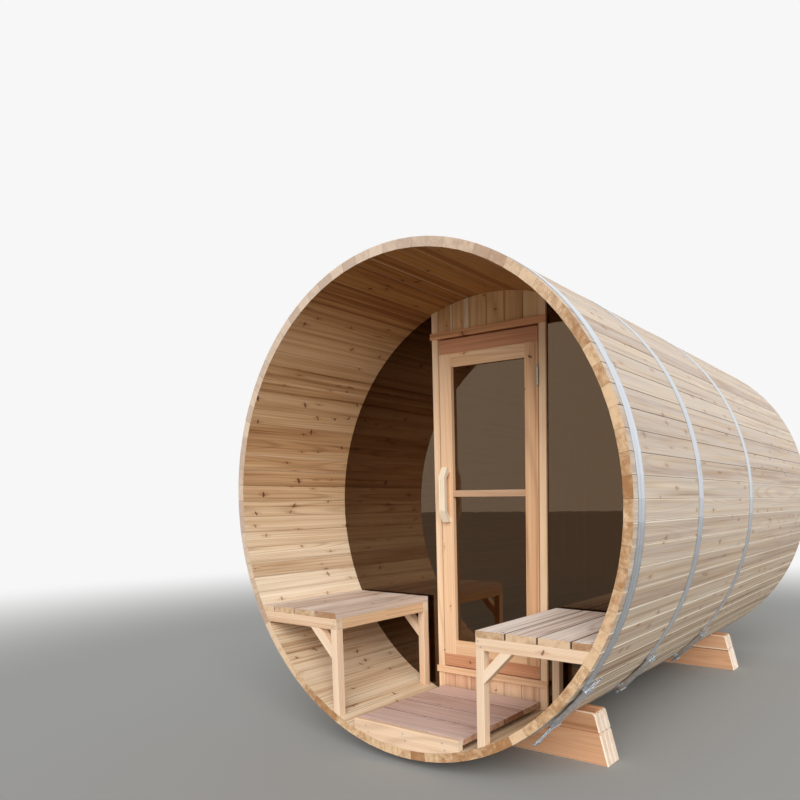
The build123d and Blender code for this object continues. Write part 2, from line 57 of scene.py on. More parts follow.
# %% Measure the barrel
hoop_low, hoop_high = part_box("hoop_1")
AXIS_Z = (hoop_low.z + hoop_high.z) / 2
BAND_RADIUS = (hoop_high.z - hoop_low.z) / 2
stave_low, stave_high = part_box("stave_group_04")
BARREL_RADIUS = stave_high.x
STAVE_COUNT = 84
STAVE_TURN = math.tau / STAVE_COUNT
STAVE_THICKNESS = 0.038
INNER_RADIUS = BARREL_RADIUS - STAVE_THICKNESS
print(f"axis {AXIS_Z:.3f} m up, radius {BARREL_RADIUS:.3f} m, {stave_high.y - stave_low.y:.2f} m long")

# %% [markdown]
# ## The camera
#
# The camera stands to the right of the porch at chest height and looks back across the doorway, so that the
# porch, the door and the long side all show. It could be placed by eye, but here it was found by matching
# the rims of the barrel to a photograph. A shift moves the picture without turning the camera, as a view
# camera does, so upright posts stay upright.

# %% Set the camera
CAMERA_PLACE = Vector((1.9885, -3.5558, 1.1452))
CAMERA_YAW = 31.44
CAMERA_PITCH = -5.92
CAMERA_ROLL = -0.33
SENSOR = 36
PICTURE_WIDTH = 800
FOCAL_PIXELS = 671.4
CENTRE_PIXEL = (546.5, 568.7)


def make_camera():
    """A camera turned up from looking straight down, then round to its heading."""
    data = bpy.data.cameras.new("camera")
    data.sensor_width = SENSOR
    data.lens = SENSOR * FOCAL_PIXELS / PICTURE_WIDTH
    data.shift_x = 0.5 - CENTRE_PIXEL[0] / PICTURE_WIDTH
    data.shift_y = CENTRE_PIXEL[1] / PICTURE_WIDTH - 0.5
    camera = bpy.data.objects.new("camera", data)
    heading = Matrix.Rotation(math.radians(CAMERA_YAW), 4, "Z")
    tilt = Matrix.Rotation(math.radians(90 + CAMERA_PITCH), 4, "X")
    roll = Matrix.Rotation(math.radians(CAMERA_ROLL), 4, "Z")
    camera.matrix_world = Matrix.Translation(CAMERA_PLACE) @ heading @ tilt @ roll
    bpy.context.scene.collection.objects.link(camera)
    bpy.context.scene.camera = camera
    return camera


camera = make_camera()
bpy.context.scene.view_settings.view_transform = "Standard"
print(f"lens {camera.data.lens:.1f} mm, shift {camera.data.shift_x:.3f}, {camera.data.shift_y:.3f}")

# %% [markdown]
# ## Arithmetic for materials
#
# A material is a sheet of nodes. The nodes could be put down and joined one by one, but then a formula of
# one line takes twenty. So a small class wraps a node's outlet, a wire, and gives it plain arithmetic:
# `1 - mask * 0.5` puts down its own Math nodes. The reflected operators are for the numbers on the left.


# %% A wire
class Wire:
    """A number on its way through a material."""

    def __init__(self, sheet, socket):
        self.sheet = sheet
        self.socket = socket

    def maths(self, operation, first, second=None):
        inlets = {0: first} if second is None else {0: first, 1: second}
        return self.sheet.node("ShaderNodeMath", {"operation": operation}, inlets)

    def __add__(self, other):
        return self.maths("ADD", self, other)

    def __radd__(self, other):
        return self.maths("ADD", other, self)

    def __sub__(self, other):
        return self.maths("SUBTRACT", self, other)

    def __rsub__(self, other):
        return self.maths("SUBTRACT", other, self)

    def __mul__(self, other):
        return self.maths("MULTIPLY", self, other)

    def __rmul__(self, other):
        return self.maths("MULTIPLY", other, self)

    def __truediv__(self, other):
        return self.maths("DIVIDE", self, other)

    def __rtruediv__(self, other):
        return self.maths("DIVIDE", other, self)

    def __pow__(self, other):
        return self.maths("POWER", self, other)

    def __abs__(self):
        return self.maths("ABSOLUTE", self)

    def __gt__(self, other):
        return self.maths("GREATER_THAN", self, other)

    def __lt__(self, other):
        return self.maths("LESS_THAN", self, other)

    def or_more(self, other):
        return self.maths("MAXIMUM", self, other)

    def floor(self):
        return self.maths("FLOOR", self)

    def fraction(self):
        return self.maths("FRACT", self)

    def root(self):
        return self.maths("SQRT", self)

    def sine(self):
        return self.maths("SINE", self)

    def cosine(self):
        return self.maths("COSINE", self)

    def between(self, low, high):
        """0 below low and 1 above high, with a smooth climb; where high is the lower one, it falls."""
        if low > high:
            return 1 - self.between(high, low)
        settings = {"interpolation_type": "SMOOTHSTEP", "clamp": True}
        return self.sheet.node("ShaderNodeMapRange", settings, {0: self, 1: low, 2: high})


print("reflected operators:", [name for name in vars(Wire) if name.startswith("__r")])

# %% [markdown]
# ## The sheet that the wires lie on
#
# One method puts down any kind of node: it sets the node's options first, because they can change its
# inlets, and then feeds the inlets with numbers, colours or wires. The other methods are short names for
# the nodes that timber, zinc and glass use most. Every sheet ends in one shader, which `close` joins up.


# %% The sheet
class Sheet:
    """The nodes of one material, or of the world."""

    def __init__(self, name, world=False):
        self.owner = (bpy.data.worlds if world else bpy.data.materials).new(name)
        self.owner.use_nodes = True
        self.tree = self.owner.node_tree
        self.tree.nodes.clear()
        self.output = self.tree.nodes.new("ShaderNodeOutputWorld" if world else "ShaderNodeOutputMaterial")

    def node(self, kind, settings=None, inlets=None, outlet=0):
        """Put down a node, set its options, feed its inlets and hand back one outlet or a few."""
        node = self.tree.nodes.new(kind)
        for option, value in (settings or {}).items():
            if option == "stops":
                self.set_stops(node.color_ramp, value)
            else:
                setattr(node, option, value)
        for inlet, value in (inlets or {}).items():
            if isinstance(value, Wire):
                self.tree.links.new(value.socket, node.inputs[inlet])
            else:
                node.inputs[inlet].default_value = value
        if isinstance(outlet, tuple):
            return [Wire(self, node.outputs[one]) for one in outlet]
        return Wire(self, node.outputs[outlet])

    def set_stops(self, ramp, stops):
        """Colours of a ramp, as pairs of place and linear colour."""
        while len(ramp.elements) < len(stops):
            ramp.elements.new(1)
        for element, (place, colour) in zip(ramp.elements, stops):
            element.position = place
            element.color = (*colour, 1)

    def vector(self, x, y, z):
        return self.node("ShaderNodeCombineXYZ", None, {0: x, 1: y, 2: z})

    def split(self, vector):
        return [self.node("ShaderNodeSeparateXYZ", None, {0: vector}, axis) for axis in range(3)]

    def place(self):
        """Coordinates on the object, in metres."""
        return self.split(self.node("ShaderNodeTexCoord", None, None, 3))

    def facing(self):
        """The direction that the surface faces, on the object."""
        return self.split(self.node("ShaderNodeTexCoord", None, None, 1))

    def mix(self, share, first, second):
        """Blend two colours by a share from 0 to 1."""
        return self.node("ShaderNodeMix", {"data_type": "RGBA"}, {0: share, 6: first, 7: second}, 2)

    def tint(self, colour, tint, share=1):
        """Multiply a colour by a tint."""
        settings = {"data_type": "RGBA", "blend_type": "MULTIPLY"}
        return self.node("ShaderNodeMix", settings, {0: share, 6: colour, 7: tint}, 2)

    def noise(self, vector, detail=2, roughness=0.5, outlet=0):
        """Noise with one feature to each unit of the vector."""
        inlets = {"Vector": vector, "Scale": 1.0, "Detail": detail, "Roughness": roughness}
        return self.node("ShaderNodeTexNoise", None, inlets, outlet)

    def chance(self, number, seed):
        """Three even random numbers that belong to a whole number."""
        drawn = self.node("ShaderNodeTexWhiteNoise", {"noise_dimensions": "1D"}, {"W": number + seed}, 1)
        return self.split(drawn)

    def close(self, shader):
        """Join the last shader to the output."""
        self.tree.links.new(shader.socket, self.output.inputs["Surface"])
        return self.owner

    def finish(self, colour, roughness, height, relief, **constants):
        """Join colour, roughness and bump to one shader; constants go on its own sockets."""
        normal = self.node("ShaderNodeBump", None, {"Distance": relief, "Height": height})
        inlets = {"Base Color": colour, "Roughness": roughness, "Normal": normal}
        inlets.update({name.replace("_", " "): value for name, value in constants.items()})
        return self.close(self.node("ShaderNodeBsdfPrincipled", None, inlets))


print("a sheet can:", [name for name in vars(Sheet) if not name.startswith("_")])

# %% [markdown]
# ## Colours as they look
#
# Timber is matched to what a screen shows, from 0 to 255, but light is added up in linear values. A
# colour could be written in linear values from the start, and then nobody could read it. So it is written as
# it looks, and turned into linear values here.


# %% Colours
def paint(red, green, blue):
    """A colour as it looks on a screen, turned into the linear values that nodes use."""
    parts = [part / 255 for part in (red, green, blue)]
    return tuple(part / 12.92 if part < 0.04045 else ((part + 0.055) / 1.055) ** 2.4 for part in parts)


def opaque(colour):
    return (*colour, 1)


print("paint(128, 128, 128) is", [round(part, 3) for part in paint(128, 128, 128)])

# %% [markdown]
# ## Batches of timber
#
# Boards for one job come from one stack, and share a range of tones and habits: how far the tones spread,
# how plain the rings and streaks are, how many knots and how much pale sapwood. A tone could be set for
# each board, but there are hundreds. So a batch holds the range, and each board draws its own tone from it.
# The tones of knots, sapwood and weathering are the same in every batch.


# %% A batch of boards
class Timber:
    """The tones and habits of one batch of boards."""

    def __init__(self, pale, middle, deep, sawn, knots=0.3, contrast=0.5, spread=0.6, streaks=1.0, sap=0.15):
        self.body = [(0.1, pale), (0.5, middle), (0.92, deep)]
        self.sawn = [opaque(colour) for colour in sawn]
        self.knots = knots
        self.contrast = contrast
        self.spread = spread
        self.streaks = streaks
        self.sap = sap


HEART = paint(112, 66, 40)
HEART_DARK = paint(66, 36, 22)
KNOT_RIM = paint(52, 28, 16)
SAPWOOD = paint(244, 222, 192)
SILVER = paint(204, 193, 185)
print("silver of weathered timber:", [round(part, 2) for part in SILVER])

# %% [markdown]
# ## Knots
#
# Knots are where branches left the log. On flat cedar they are small dark slanting marks with a brown trail
# along the grain, and the grain bends round them. They could be set one by one, but a wall of this size has
# hundreds. A cell pattern deals out one chance of a knot to each cell, and the cell's random colour draws
# its size, its slant and how dark it is. Each board shifts the pattern, so that no two have the same knots.

# %% Deal out the knots
KNOT_CELL = 0.16
KNOT_SHIFT = (7.31, 3.17)
KNOT_FRAY = 75
KNOT_RAGGED = 0.011
KNOT_SLANT = 1.7
KNOT_LEAST = (0.0024, 0.0046)
KNOT_GROWTH = (0.0034, 0.0105)
KNOT_EDGE = (0.7, 1.25)
KNOT_FAINTEST = 0.4
RIM_WIDTH = (0.0, 0.3)
TRAIL = (0.04472, 0.01054)
TRAIL_EDGE = (0.15, 1.1)


def knot_field(sheet, along, across, board, share):
    """Knots as small slanting marks, their rims, the trails beside them and their push on the grain."""
    cells_along = along / KNOT_CELL + board * KNOT_SHIFT[0]
    cells_across = across / KNOT_CELL + board * KNOT_SHIFT[1]
    settings = {"voronoi_dimensions": "2D", "feature": "F1"}
    inlets = {"Vector": sheet.vector(cells_along, cells_across, 0.0), "Scale": 1.0, "Randomness": 1.0}
    colour, position = sheet.node("ShaderNodeTexVoronoi", settings, inlets, (1, 2))
    luck, size, turn = sheet.split(colour)
    centre = sheet.split(position)
    fray = sheet.vector(along * KNOT_FRAY, across * KNOT_FRAY, board)
    ragged = sheet.split(sheet.noise(fray, outlet=1))
    ahead = (cells_along - centre[0]) * KNOT_CELL + (ragged[0] - 0.5) * KNOT_RAGGED
    aside = (cells_across - centre[1]) * KNOT_CELL + (ragged[1] - 0.5) * KNOT_RAGGED

    slant = (turn - 0.5) * KNOT_SLANT
    short = (ahead * slant.cosine() + aside * slant.sine()) / (KNOT_LEAST[0] + KNOT_GROWTH[0] * size)
    long = (aside * slant.cosine() - ahead * slant.sine()) / (KNOT_LEAST[1] + KNOT_GROWTH[1] * size)
    ratio = (short * short + long * long).root()
    present = luck < share
    bold = (KNOT_FAINTEST + (1 - KNOT_FAINTEST) * (size * 7).fraction()) * present
    knot = (1 - ratio.between(*KNOT_EDGE)) * bold
    rim = (1 - abs(ratio - 1).between(*RIM_WIDTH)) * bold

    trail_ahead = ahead / TRAIL[0]
    trail_aside = aside / TRAIL[1]
    trail = (trail_ahead * trail_ahead + trail_aside * trail_aside).root()
    trail = (1 - trail.between(*TRAIL_EDGE)) * present
    return knot, rim, trail, aside * trail


print("one chance of a knot in each", KNOT_CELL * 100, "cm square")

# %% [markdown]
# ## Rings and fibre
#
# Sawn cedar shows one log from different sides: its rings are long arches on a board's face and arcs on its
# end. Stripes could be painted on each face, but they wouldn't meet at the corners. So the material works
# in three dimensions. Each board gets its own pith, somewhere beside it, and the distance from that line
# gives the ring. Cut anywhere, the pattern fits. Fibre, streaks and clouds are noise drawn out lengthwise.

# %% Grow the rings
RING_WIDTH = 0.0045
RING_LEAST = 0.7
RING_GROWTH = 0.9
PITH_ASIDE = 0.16
PITH_NEAREST = 0.025
PITH_FURTHER = 0.11
PITH_LEAN = 0.016
RING_WANDER = 0.035
KNOT_PUSH = 0.8
WANDER = (0.9, 5)
FIBRE = (3, 260)
CLOUD = (1.6, 9)
STREAK = (0.55, 42)


def long_noise(sheet, place, scale, detail, roughness=0.5):
    """Noise drawn out along the grain; scale is its features to a metre along the board and across it."""
    along, across, depth = place
    lengthwise, crosswise = scale
    plane = sheet.vector(along * lengthwise, across * crosswise, depth * crosswise)
    return sheet.noise(plane, detail, roughness)


def late_wood(place, wander, push, luck, width):
    """1 on the dark late wood of a ring. The pith is beside the board, and leans a little."""
    along, across, depth = place
    aside = across - (luck[0] - 0.5) * PITH_ASIDE - push * KNOT_PUSH
    behind = depth + PITH_NEAREST + luck[1] * PITH_FURTHER
    lean = along * (luck[2] - 0.5) * PITH_LEAN
    radius = (aside * aside + behind * behind).root() + lean + wander * RING_WANDER
    turns = radius * (math.tau / RING_WIDTH) / (RING_LEAST + RING_GROWTH * width)
    ring = turns.sine() * 0.5 + 0.5
    return ring * ring * ring


ring_widths = [round(share * RING_WIDTH * 1000, 1) for share in (RING_LEAST, RING_LEAST + RING_GROWTH)]
print("rings are from", ring_widths[0], "to", ring_widths[1], "mm wide")

# %% [markdown]
# ## Sawn ends
#
# A board's end drinks water and takes up dust, so it is blotched, and its open pores are dark dots. It could
# be left to the colours of the face, but it is what shows first at every rim and corner. So it mixes two
# tones of its own by a coarse noise, and the arcs of late wood run through them.

# %% Saw the ends
BLOTCHES = 34
BLOTCH_SHIFT = 3.7
BLOTCH_SPREAD = 2.2
PORES = 420
END_LATE_SHADE = 0.26
PORE_SHADE = 0.3
BROWNING = (1.0, 1.15, 1.35)


def darker(sheet, colour, shade):
    """A colour in a shade, where timber turns browner as it darkens."""
    return sheet.tint(colour, sheet.vector(*[shade ** power for power in BROWNING]))


def sawn_end(sheet, timber, across, depth, board, late, luck):
    """The colour of a board's sawn end."""
    blotch = sheet.noise(sheet.vector(across * BLOTCHES, depth * BLOTCHES, board * BLOTCH_SHIFT), 4, 0.7)
    pores = sheet.noise(sheet.vector(across * PORES, depth * PORES, board), 1)
    tone = (blotch - 0.5) * BLOTCH_SPREAD + luck
    colour = sheet.mix(tone.between(-0.1, 1.1), *timber.sawn)
    return darker(sheet, colour, (1 - late * END_LATE_SHADE) * (1 - (pores - 0.5) * PORE_SHADE))


print("a blotch is about", round(1000 / BLOTCHES), "mm wide, a pore", round(1000 / PORES, 1), "mm")

# %% [markdown]
# ## A board's face
#
# Here everything comes together: the tone drawn from the batch, the strip of sapwood that some boards keep,
# the rings, the weathering, and last the knots over it all. The layers could be mixed in any order, but this
# is the order in which a board comes by them, and so each one covers what it covers on a real board.
#
# The helper needs to know how far along the board a point is, where it is in the board's section, and which
# board it is on. Each piece of the sauna answers that in its own way.

# %% Mix a board
RELIEF = 0.0007
WOOD_GLOSS = 0.35
LOG_SHIFT = 1.93
STREAK_SHIFT = 3.1
STREAK_PUSH = 90
SAP_INSET = 0.012
SAP_VARIES = 0.03
SAP_EDGE = (-0.001, 0.002)
SAP_SHARE = 0.6
LATE_SHADE = 0.3
VEIN_START = (0.6, 0.72)
VEIN_SHADE = 0.16
FIBRE_SHADE = 0.2
TRAIL_BROWN = (0.13, 0.22, 0.28)
KNOT_SHARE = 0.88
RIM_SHARE = 0.35
SILVER_VEIL = 0.6


def grain(sheet, timber, along, across, depth, board, end, silver=None):
    """Colour, roughness and height of a board; end is 1 on its sawn ends, silver the share of weathering."""
    luck = sheet.chance(board, 0.37)
    more = sheet.chance(board, 5.81)
    knot, rim, trail, push = knot_field(sheet, along, across, board, timber.knots)
    shifted = along + board * LOG_SHIFT
    place = (shifted, across, depth)
    wander = long_noise(sheet, place, WANDER, 1) - 0.5
    fibre = long_noise(sheet, place, FIBRE, 2, 0.6)
    cloud = long_noise(sheet, place, CLOUD, 2)
    pushed = depth * STREAK[1] + push * STREAK_PUSH
    drawn_out = sheet.vector(shifted * STREAK[0], across * STREAK[1] + STREAK_SHIFT, pushed)
    streak = sheet.noise(drawn_out, 3, 0.65)
    late = late_wood(place, wander, push, luck, more[2])

    age = 0.5 + (more[0] - 0.5) * timber.spread + (streak - 0.5) * timber.streaks + (cloud - 0.5) * 0.5
    body = sheet.node("ShaderNodeValToRGB", {"stops": timber.body}, {0: age})
    edge = across + wander * SAP_VARIES - SAP_INSET - luck[1] * SAP_VARIES
    sap = edge.between(*SAP_EDGE) * (luck[2] < timber.sap)
    body = sheet.mix(sap * SAP_SHARE, body, opaque(SAPWOOD))
    line = late * timber.contrast * (0.3 + 0.7 * more[1]) * LATE_SHADE
    vein = streak.between(*VEIN_START) * VEIN_SHADE * timber.streaks
    body = darker(sheet, body, (1 - line) * (1 - vein) * (1 - (fibre - 0.5) * FIBRE_SHADE))

    if silver is not None:
        body = sheet.mix(silver, body, opaque(SILVER))
        knot = knot * (1 - SILVER_VEIL * silver)
        rim = rim * (1 - SILVER_VEIL * silver)
    body = sheet.tint(body, sheet.vector(*[1 - trail * brown for brown in TRAIL_BROWN]))
    body = sheet.mix(knot * KNOT_SHARE, body, sheet.mix(fibre, opaque(HEART), opaque(HEART_DARK)))
    body = sheet.mix(rim * RIM_SHARE, body, opaque(KNOT_RIM))
    colour = sheet.mix(end, body, sawn_end(sheet, timber, across, depth, board, late, luck[1]))
    roughness = 0.6 + 0.16 * fibre - 0.08 * late + 0.14 * end
    height = 0.35 * late + 0.45 * fibre + 0.35 * knot - 0.3 * rim
    return colour, roughness, height


def finish_timber(sheet, colour, roughness, height):
    """Bare planed timber has a low relief and a dull gloss."""
    return sheet.finish(colour, roughness, height, RELIEF, Specular_IOR_Level=WOOD_GLOSS)


print("relief of planed timber", RELIEF * 1000, "mm")

# %% [markdown]
# ## Staves
#
# The wall is 84 straight staves. Each could have a material of its own, but they differ only by their place
# in the ring. So one material finds the stave from the angle round the axis, and with it how far a point is
# from the stave's middle line and how deep it is in the wall. Outside, weather has taken the colour towards
# a pale grey. Inside, the cedar keeps a honey tone; the crown is painted darker, as shade, and a patchy
# paler band is painted at backrest height, as light.

# %% Stave timber
STAVES = Timber(paint(234, 214, 186), paint(216, 189, 156), paint(178, 142, 106),
                (paint(234, 200, 160), paint(172, 124, 80)), knots=0.95, contrast=0.9, spread=0.55,
                streaks=2.3, sap=0.2)
HONEY = (0.97, 0.78, 0.6)
CROWN_SHADE = (0.58, 0.42, 0.2)
BAND_LIGHT = (1.2, 1.27, 1.36)
RIM_GREY = paint(214, 200, 188)
RIM_GREY_SHARE = 0.55
RIM_GREY_SIDE = (-0.5, 1.1)
WEATHER_STREAK = (1.4, 36)
WEATHER_SHIFT = 2.7
JOINT_BROWN = paint(72, 48, 32)
PAINTED_HIGHLIGHT = paint(252, 240, 222)
BEVEL_WIDTH = (0.0036, 0.0052)
GLINT_WIDTH = (0.0014, 0.0026)
GLINT_SHARE = 0.18
JOINT_WIDTH = (0.0004, 0.0018)
OUTER_SKIN = (0.03, 0.034)
INNER_SKIN = (0.002, 0.006)
SUNNY_HEIGHT = (-0.9, 0.4)
HONEY_HEIGHT = (-0.5, 0.3)
CROWN_SHADE_HEIGHT = (0.72, 1.03)
BACKREST_TOP = (0.1, -0.3)
BACKREST_FOOT = (-0.66, -0.42)
BEVEL_LIGHT_HEIGHT = (0.5, -0.3)


def round_axis(x, z):
    """How far a point is from the barrel's axis, its angle from the crown, and its height over the axis."""
    up = z - AXIS_Z
    return (x * x + up * up).root(), x.maths("ARCTAN2", x, up), up


def stave_place(x, z):
    """Which stave a point is on, how far from the stave's middle line, and how deep in the wall."""
    radius, angle, up = round_axis(x, z)
    count = (angle / STAVE_TURN + 0.5).floor()
    offset = angle - count * STAVE_TURN
    board = count.maths("FLOORED_MODULO", count, STAVE_COUNT)
    return board, radius * offset.sine(), radius * offset.cosine() - INNER_RADIUS, up


def draw_joints(sheet, colour, place, inside, outside, end):
    """Fine dark joints, painted highlights on the outer bevels low down, and here and there a painted glint
    inside.
    """
    board, across, depth, up = place
    half = (depth + INNER_RADIUS) * math.tan(STAVE_TURN / 2)
    from_joint = half - abs(across)
    luck = sheet.chance(board, 2.9)
    bevel_light_share = up.between(*BEVEL_LIGHT_HEIGHT)
    # Painted highlight: the bevels beside the outer joints are drawn pale on the lower half of the barrel.
    bevel_highlight = (1 - from_joint.between(*BEVEL_WIDTH)) * outside * (1 - end)
    colour = sheet.mix(bevel_highlight * bevel_light_share * (0.55 + 0.45 * luck[0]), colour, opaque(PAINTED_HIGHLIGHT))
    # Painted glint: a bright line along some joints inside.
    glint = (1 - from_joint.between(*GLINT_WIDTH)) * inside * (1 - end) * (luck[2] > 1 - GLINT_SHARE)
    colour = sheet.mix(glint * 0.6, colour, opaque(PAINTED_HIGHLIGHT))
    # Where the bevels get painted highlights, the dark joint is drawn fainter.
    joint = (1 - from_joint.between(*JOINT_WIDTH)) * (1 - 0.8 * bevel_light_share * outside) * (1 - 0.45 * end)
    strength = 0.3 - 0.2 * inside + 0.6 * luck[1]
    return sheet.mix(joint * strength, colour, opaque(JOINT_BROWN)), joint


def stave_material():
    sheet = Sheet("stave_timber")
    x, y, z = sheet.place()
    place = stave_place(x, z)
    board, across, depth, up = place
    end = abs(sheet.facing()[1]).between(0.7, 0.9)
    outside = depth.between(*OUTER_SKIN)
    inside = 1 - depth.between(*INNER_SKIN)

    row = across * WEATHER_STREAK[1] + board * WEATHER_SHIFT
    weather = sheet.noise(sheet.vector(y * WEATHER_STREAK[0], row, depth), 4, 0.65)
    exposed = 0.3 + 0.7 * up.between(*SUNNY_HEIGHT)
    silver = outside * exposed * (0.2 + 0.7 * weather.between(0.22, 0.76))
    colour, roughness, height = grain(sheet, STAVES, y, across, depth, board, end, silver)
    greyed = end * RIM_GREY_SHARE * (up - x).between(*RIM_GREY_SIDE)
    colour = sheet.mix(greyed, colour, opaque(RIM_GREY))
    inner_face = inside * (1 - end)
    colour = sheet.tint(colour, opaque(HONEY), inner_face * up.between(*HONEY_HEIGHT))
    # Painted shade: the inner face is darkened towards the crown.
    colour = sheet.tint(colour, opaque(CROWN_SHADE), inner_face * up.between(*CROWN_SHADE_HEIGHT))
    # Painted light: a patchy paler band on the inner face at backrest height.
    light_band = up.between(*BACKREST_TOP) * up.between(*BACKREST_FOOT)
    colour = sheet.tint(colour, opaque(BAND_LIGHT), inner_face * light_band * (0.35 + 0.9 * weather))
    colour, joint = draw_joints(sheet, colour, place, inside, outside, end)
    return finish_timber(sheet, colour, roughness, height - joint)


def dress(material, *names):
    """Give the material to solids of the frame."""
    for name in names:
        mesh = nodes[name].data
        mesh.materials.clear()
        mesh.materials.append(material)


dress(stave_material(), *[name for name in nodes if name.startswith("stave_group")])
print("stave width outside", round(BARREL_RADIUS * STAVE_TURN * 1000), "mm")

# %% [markdown]
# ## Straight boards
#
# Everything else is made of straight boards that lie square to the barrel. Each piece could have a recipe of
# its own, but they would all say the same, so one serves them all. It asks which way the grain runs, which
# way the board's face is wide, and where one board stops and the next starts. Numbering the boards matters
# most: each number draws its own tone, its own log and its own knots, and that is what makes a row of boards
# look laid and not printed.

# %% One recipe for all straight boards
AXES = "xyz"
END_FACING = (0.45, 0.6)
SIDE_FACING = (0.6, 0.8)
ROW_STEP = 23


def number_boards(coordinate, edges):
    """Number the boards between the edges, and measure across each from its own middle."""
    middles = [(low + high) / 2 for low, high in zip(edges[:-1], edges[1:])]
    board = coordinate * 0
    middle = board + middles[0]
    for index in range(1, len(middles)):
        past = coordinate > edges[index]
        board = board + past
        middle = middle + past * (middles[index] - middles[index - 1])
    return board, coordinate - middle


def straight_grain(sheet, timber, grain_axis, wide_axis, edges, seed, also=None):
    """Grain of boards in a row; also holds the edges on the third axis, where boards lie in two rows."""
    place = sheet.place()
    thin_axis = next(axis for axis in AXES if axis not in (grain_axis, wide_axis))
    board, across = number_boards(place[AXES.index(wide_axis)], edges)
    along = place[AXES.index(grain_axis)]
    depth = place[AXES.index(thin_axis)]
    if also is not None:
        row, depth = number_boards(depth, also)
        board = board + row * ROW_STEP
    end = abs(sheet.facing()[AXES.index(grain_axis)]).between(*END_FACING)
    return grain(sheet, timber, along, across, depth, board + seed, end)


def board_material(name, timber, grain_axis, wide_axis, edges, seed):
    sheet = Sheet(name)
    return finish_timber(sheet, *straight_grain(sheet, timber, grain_axis, wide_axis, edges, seed))


def spaced(start, pitch, count):
    return [start + index * pitch for index in range(count + 1)]


print("edges of four slats:", spaced(0.0, 0.145, 4))

# %% [markdown]
# ## The front wall
#
# The posts are clear cream boards picked for the front, the trims over and under the door are pinker, and
# the short boards above and below are tongued together, with a V at every joint. The V could be left to its
# own shade, but it is too shallow to show from a few steps away. So its shade and the dirt in it are painted
# in as a brown line, at one cover width from the next.

# %% Timber of the front wall
FRESH_ENDS = (paint(246, 226, 200), paint(220, 186, 148))
CREAM = Timber(paint(250, 219, 184), paint(240, 203, 164), paint(218, 173, 132), FRESH_ENDS,
               knots=0.12, contrast=0.5, spread=0.3, streaks=0.9)
TRIM = Timber(paint(244, 188, 140), paint(228, 168, 120), paint(198, 138, 94), FRESH_ENDS,
              knots=0.3, contrast=0.7, sap=0.0)
CLEAR = Timber(paint(246, 210, 172), paint(236, 192, 150), paint(212, 160, 116), FRESH_ENDS,
               knots=0.12, contrast=0.6, spread=0.4, streaks=0.9)
UPPER = Timber(paint(242, 204, 154), paint(226, 180, 128), paint(192, 142, 92), FRESH_ENDS,
               knots=0.7, contrast=0.7, spread=0.5, sap=0.4)
BOARDING = Timber(paint(244, 208, 172), paint(230, 184, 150), paint(196, 146, 112), FRESH_ENDS,
                  knots=0.6, contrast=0.7, spread=0.6, sap=0.5)
POST_EDGES = [-0.4, 0, 0.4]
HEADER_EDGES = [1.9, 2.0]
SILL_EDGES = [0.2, 0.3]
COVER = 0.105
V_WIDTH = (0.0006, 0.0032)
V_SHARE = 0.45
UPPER_JOINT = 0.0
LOWER_JOINT = -0.028
upper_low, upper_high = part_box("front_wall_upper_boards")


def wall_material(name, timber, edges, seed, joint, cover):
    """Upright boards that cover the same width each, with a brown line of painted shade and dirt in the V of
    every joint.
    """
    sheet = Sheet(name)
    colour, roughness, height = straight_grain(sheet, timber, "z", "x", edges, seed)
    from_joint = abs(((sheet.place()[0] - joint) / cover + 0.5).fraction() - 0.5) * cover
    # Painted shade and dirt: a brown line in each V.
    colour = sheet.mix((1 - from_joint.between(*V_WIDTH)) * V_SHARE, colour, opaque(JOINT_BROWN))
    return finish_timber(sheet, colour, roughness, height)


def wall_edges(joint):
    """Two whole boards each side of a joint, and the cut ones beyond."""
    return [upper_low.x - 0.01, *spaced(joint - 2 * COVER, COVER, 4), upper_high.x + 0.01]


dress(board_material("post_timber", CREAM, "z", "x", POST_EDGES, 3.0),
      "front_wall_left_post", "front_wall_right_post")
dress(board_material("header_timber", TRIM, "x", "z", HEADER_EDGES, 29.0), "front_wall_header")
dress(board_material("sill_timber", CLEAR, "x", "z", SILL_EDGES, 31.0), "front_wall_sill")
dress(wall_material("upper_boarding", UPPER, wall_edges(UPPER_JOINT), 41.0, UPPER_JOINT, COVER),
      "front_wall_upper_boards")
dress(wall_material("lower_boarding", BOARDING, wall_edges(LOWER_JOINT), 53.0, LOWER_JOINT, COVER),
      "front_wall_lower_boards")
print("front wall", round(upper_high.x - upper_low.x, 3), "m between its outer boards' edges")

# %% [markdown]
# ## The door
#
# Stiles stand and rails lie, so their grain runs different ways, and a door made of one material would give
# that away. The thin rail between the panes is painted darker, as shade, the short boards at the top and
# foot are redder heartwood, and the bent grip is a pale, close timber without knots, which is kind to the
# hand.

# %% Timber of the door
RAIL = Timber(paint(248, 214, 176), paint(238, 196, 154), paint(216, 164, 120), FRESH_ENDS,
              knots=0.3, contrast=0.6, spread=0.3, streaks=0.9)
RED = Timber(paint(212, 154, 116), paint(192, 128, 90), paint(164, 100, 66), FRESH_ENDS,
             knots=0.12, contrast=0.7, spread=0.5, sap=0.0)
GRIP = Timber(paint(255, 244, 222), paint(250, 232, 204), paint(236, 208, 172), FRESH_ENDS,
              knots=0.0, contrast=0.5, spread=0.2)
MID_RAIL_SHADE = (0.68, 0.66, 0.69)
stile_low, stile_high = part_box("door_stiles")
STILE_EDGES = [stile_low.x, 0, stile_high.x]
RAIL_EDGES = [stile_low.z, 0.7, 1.5, stile_high.z]
END_BOARD_EDGES = [0.2, 1.0, 2.0]


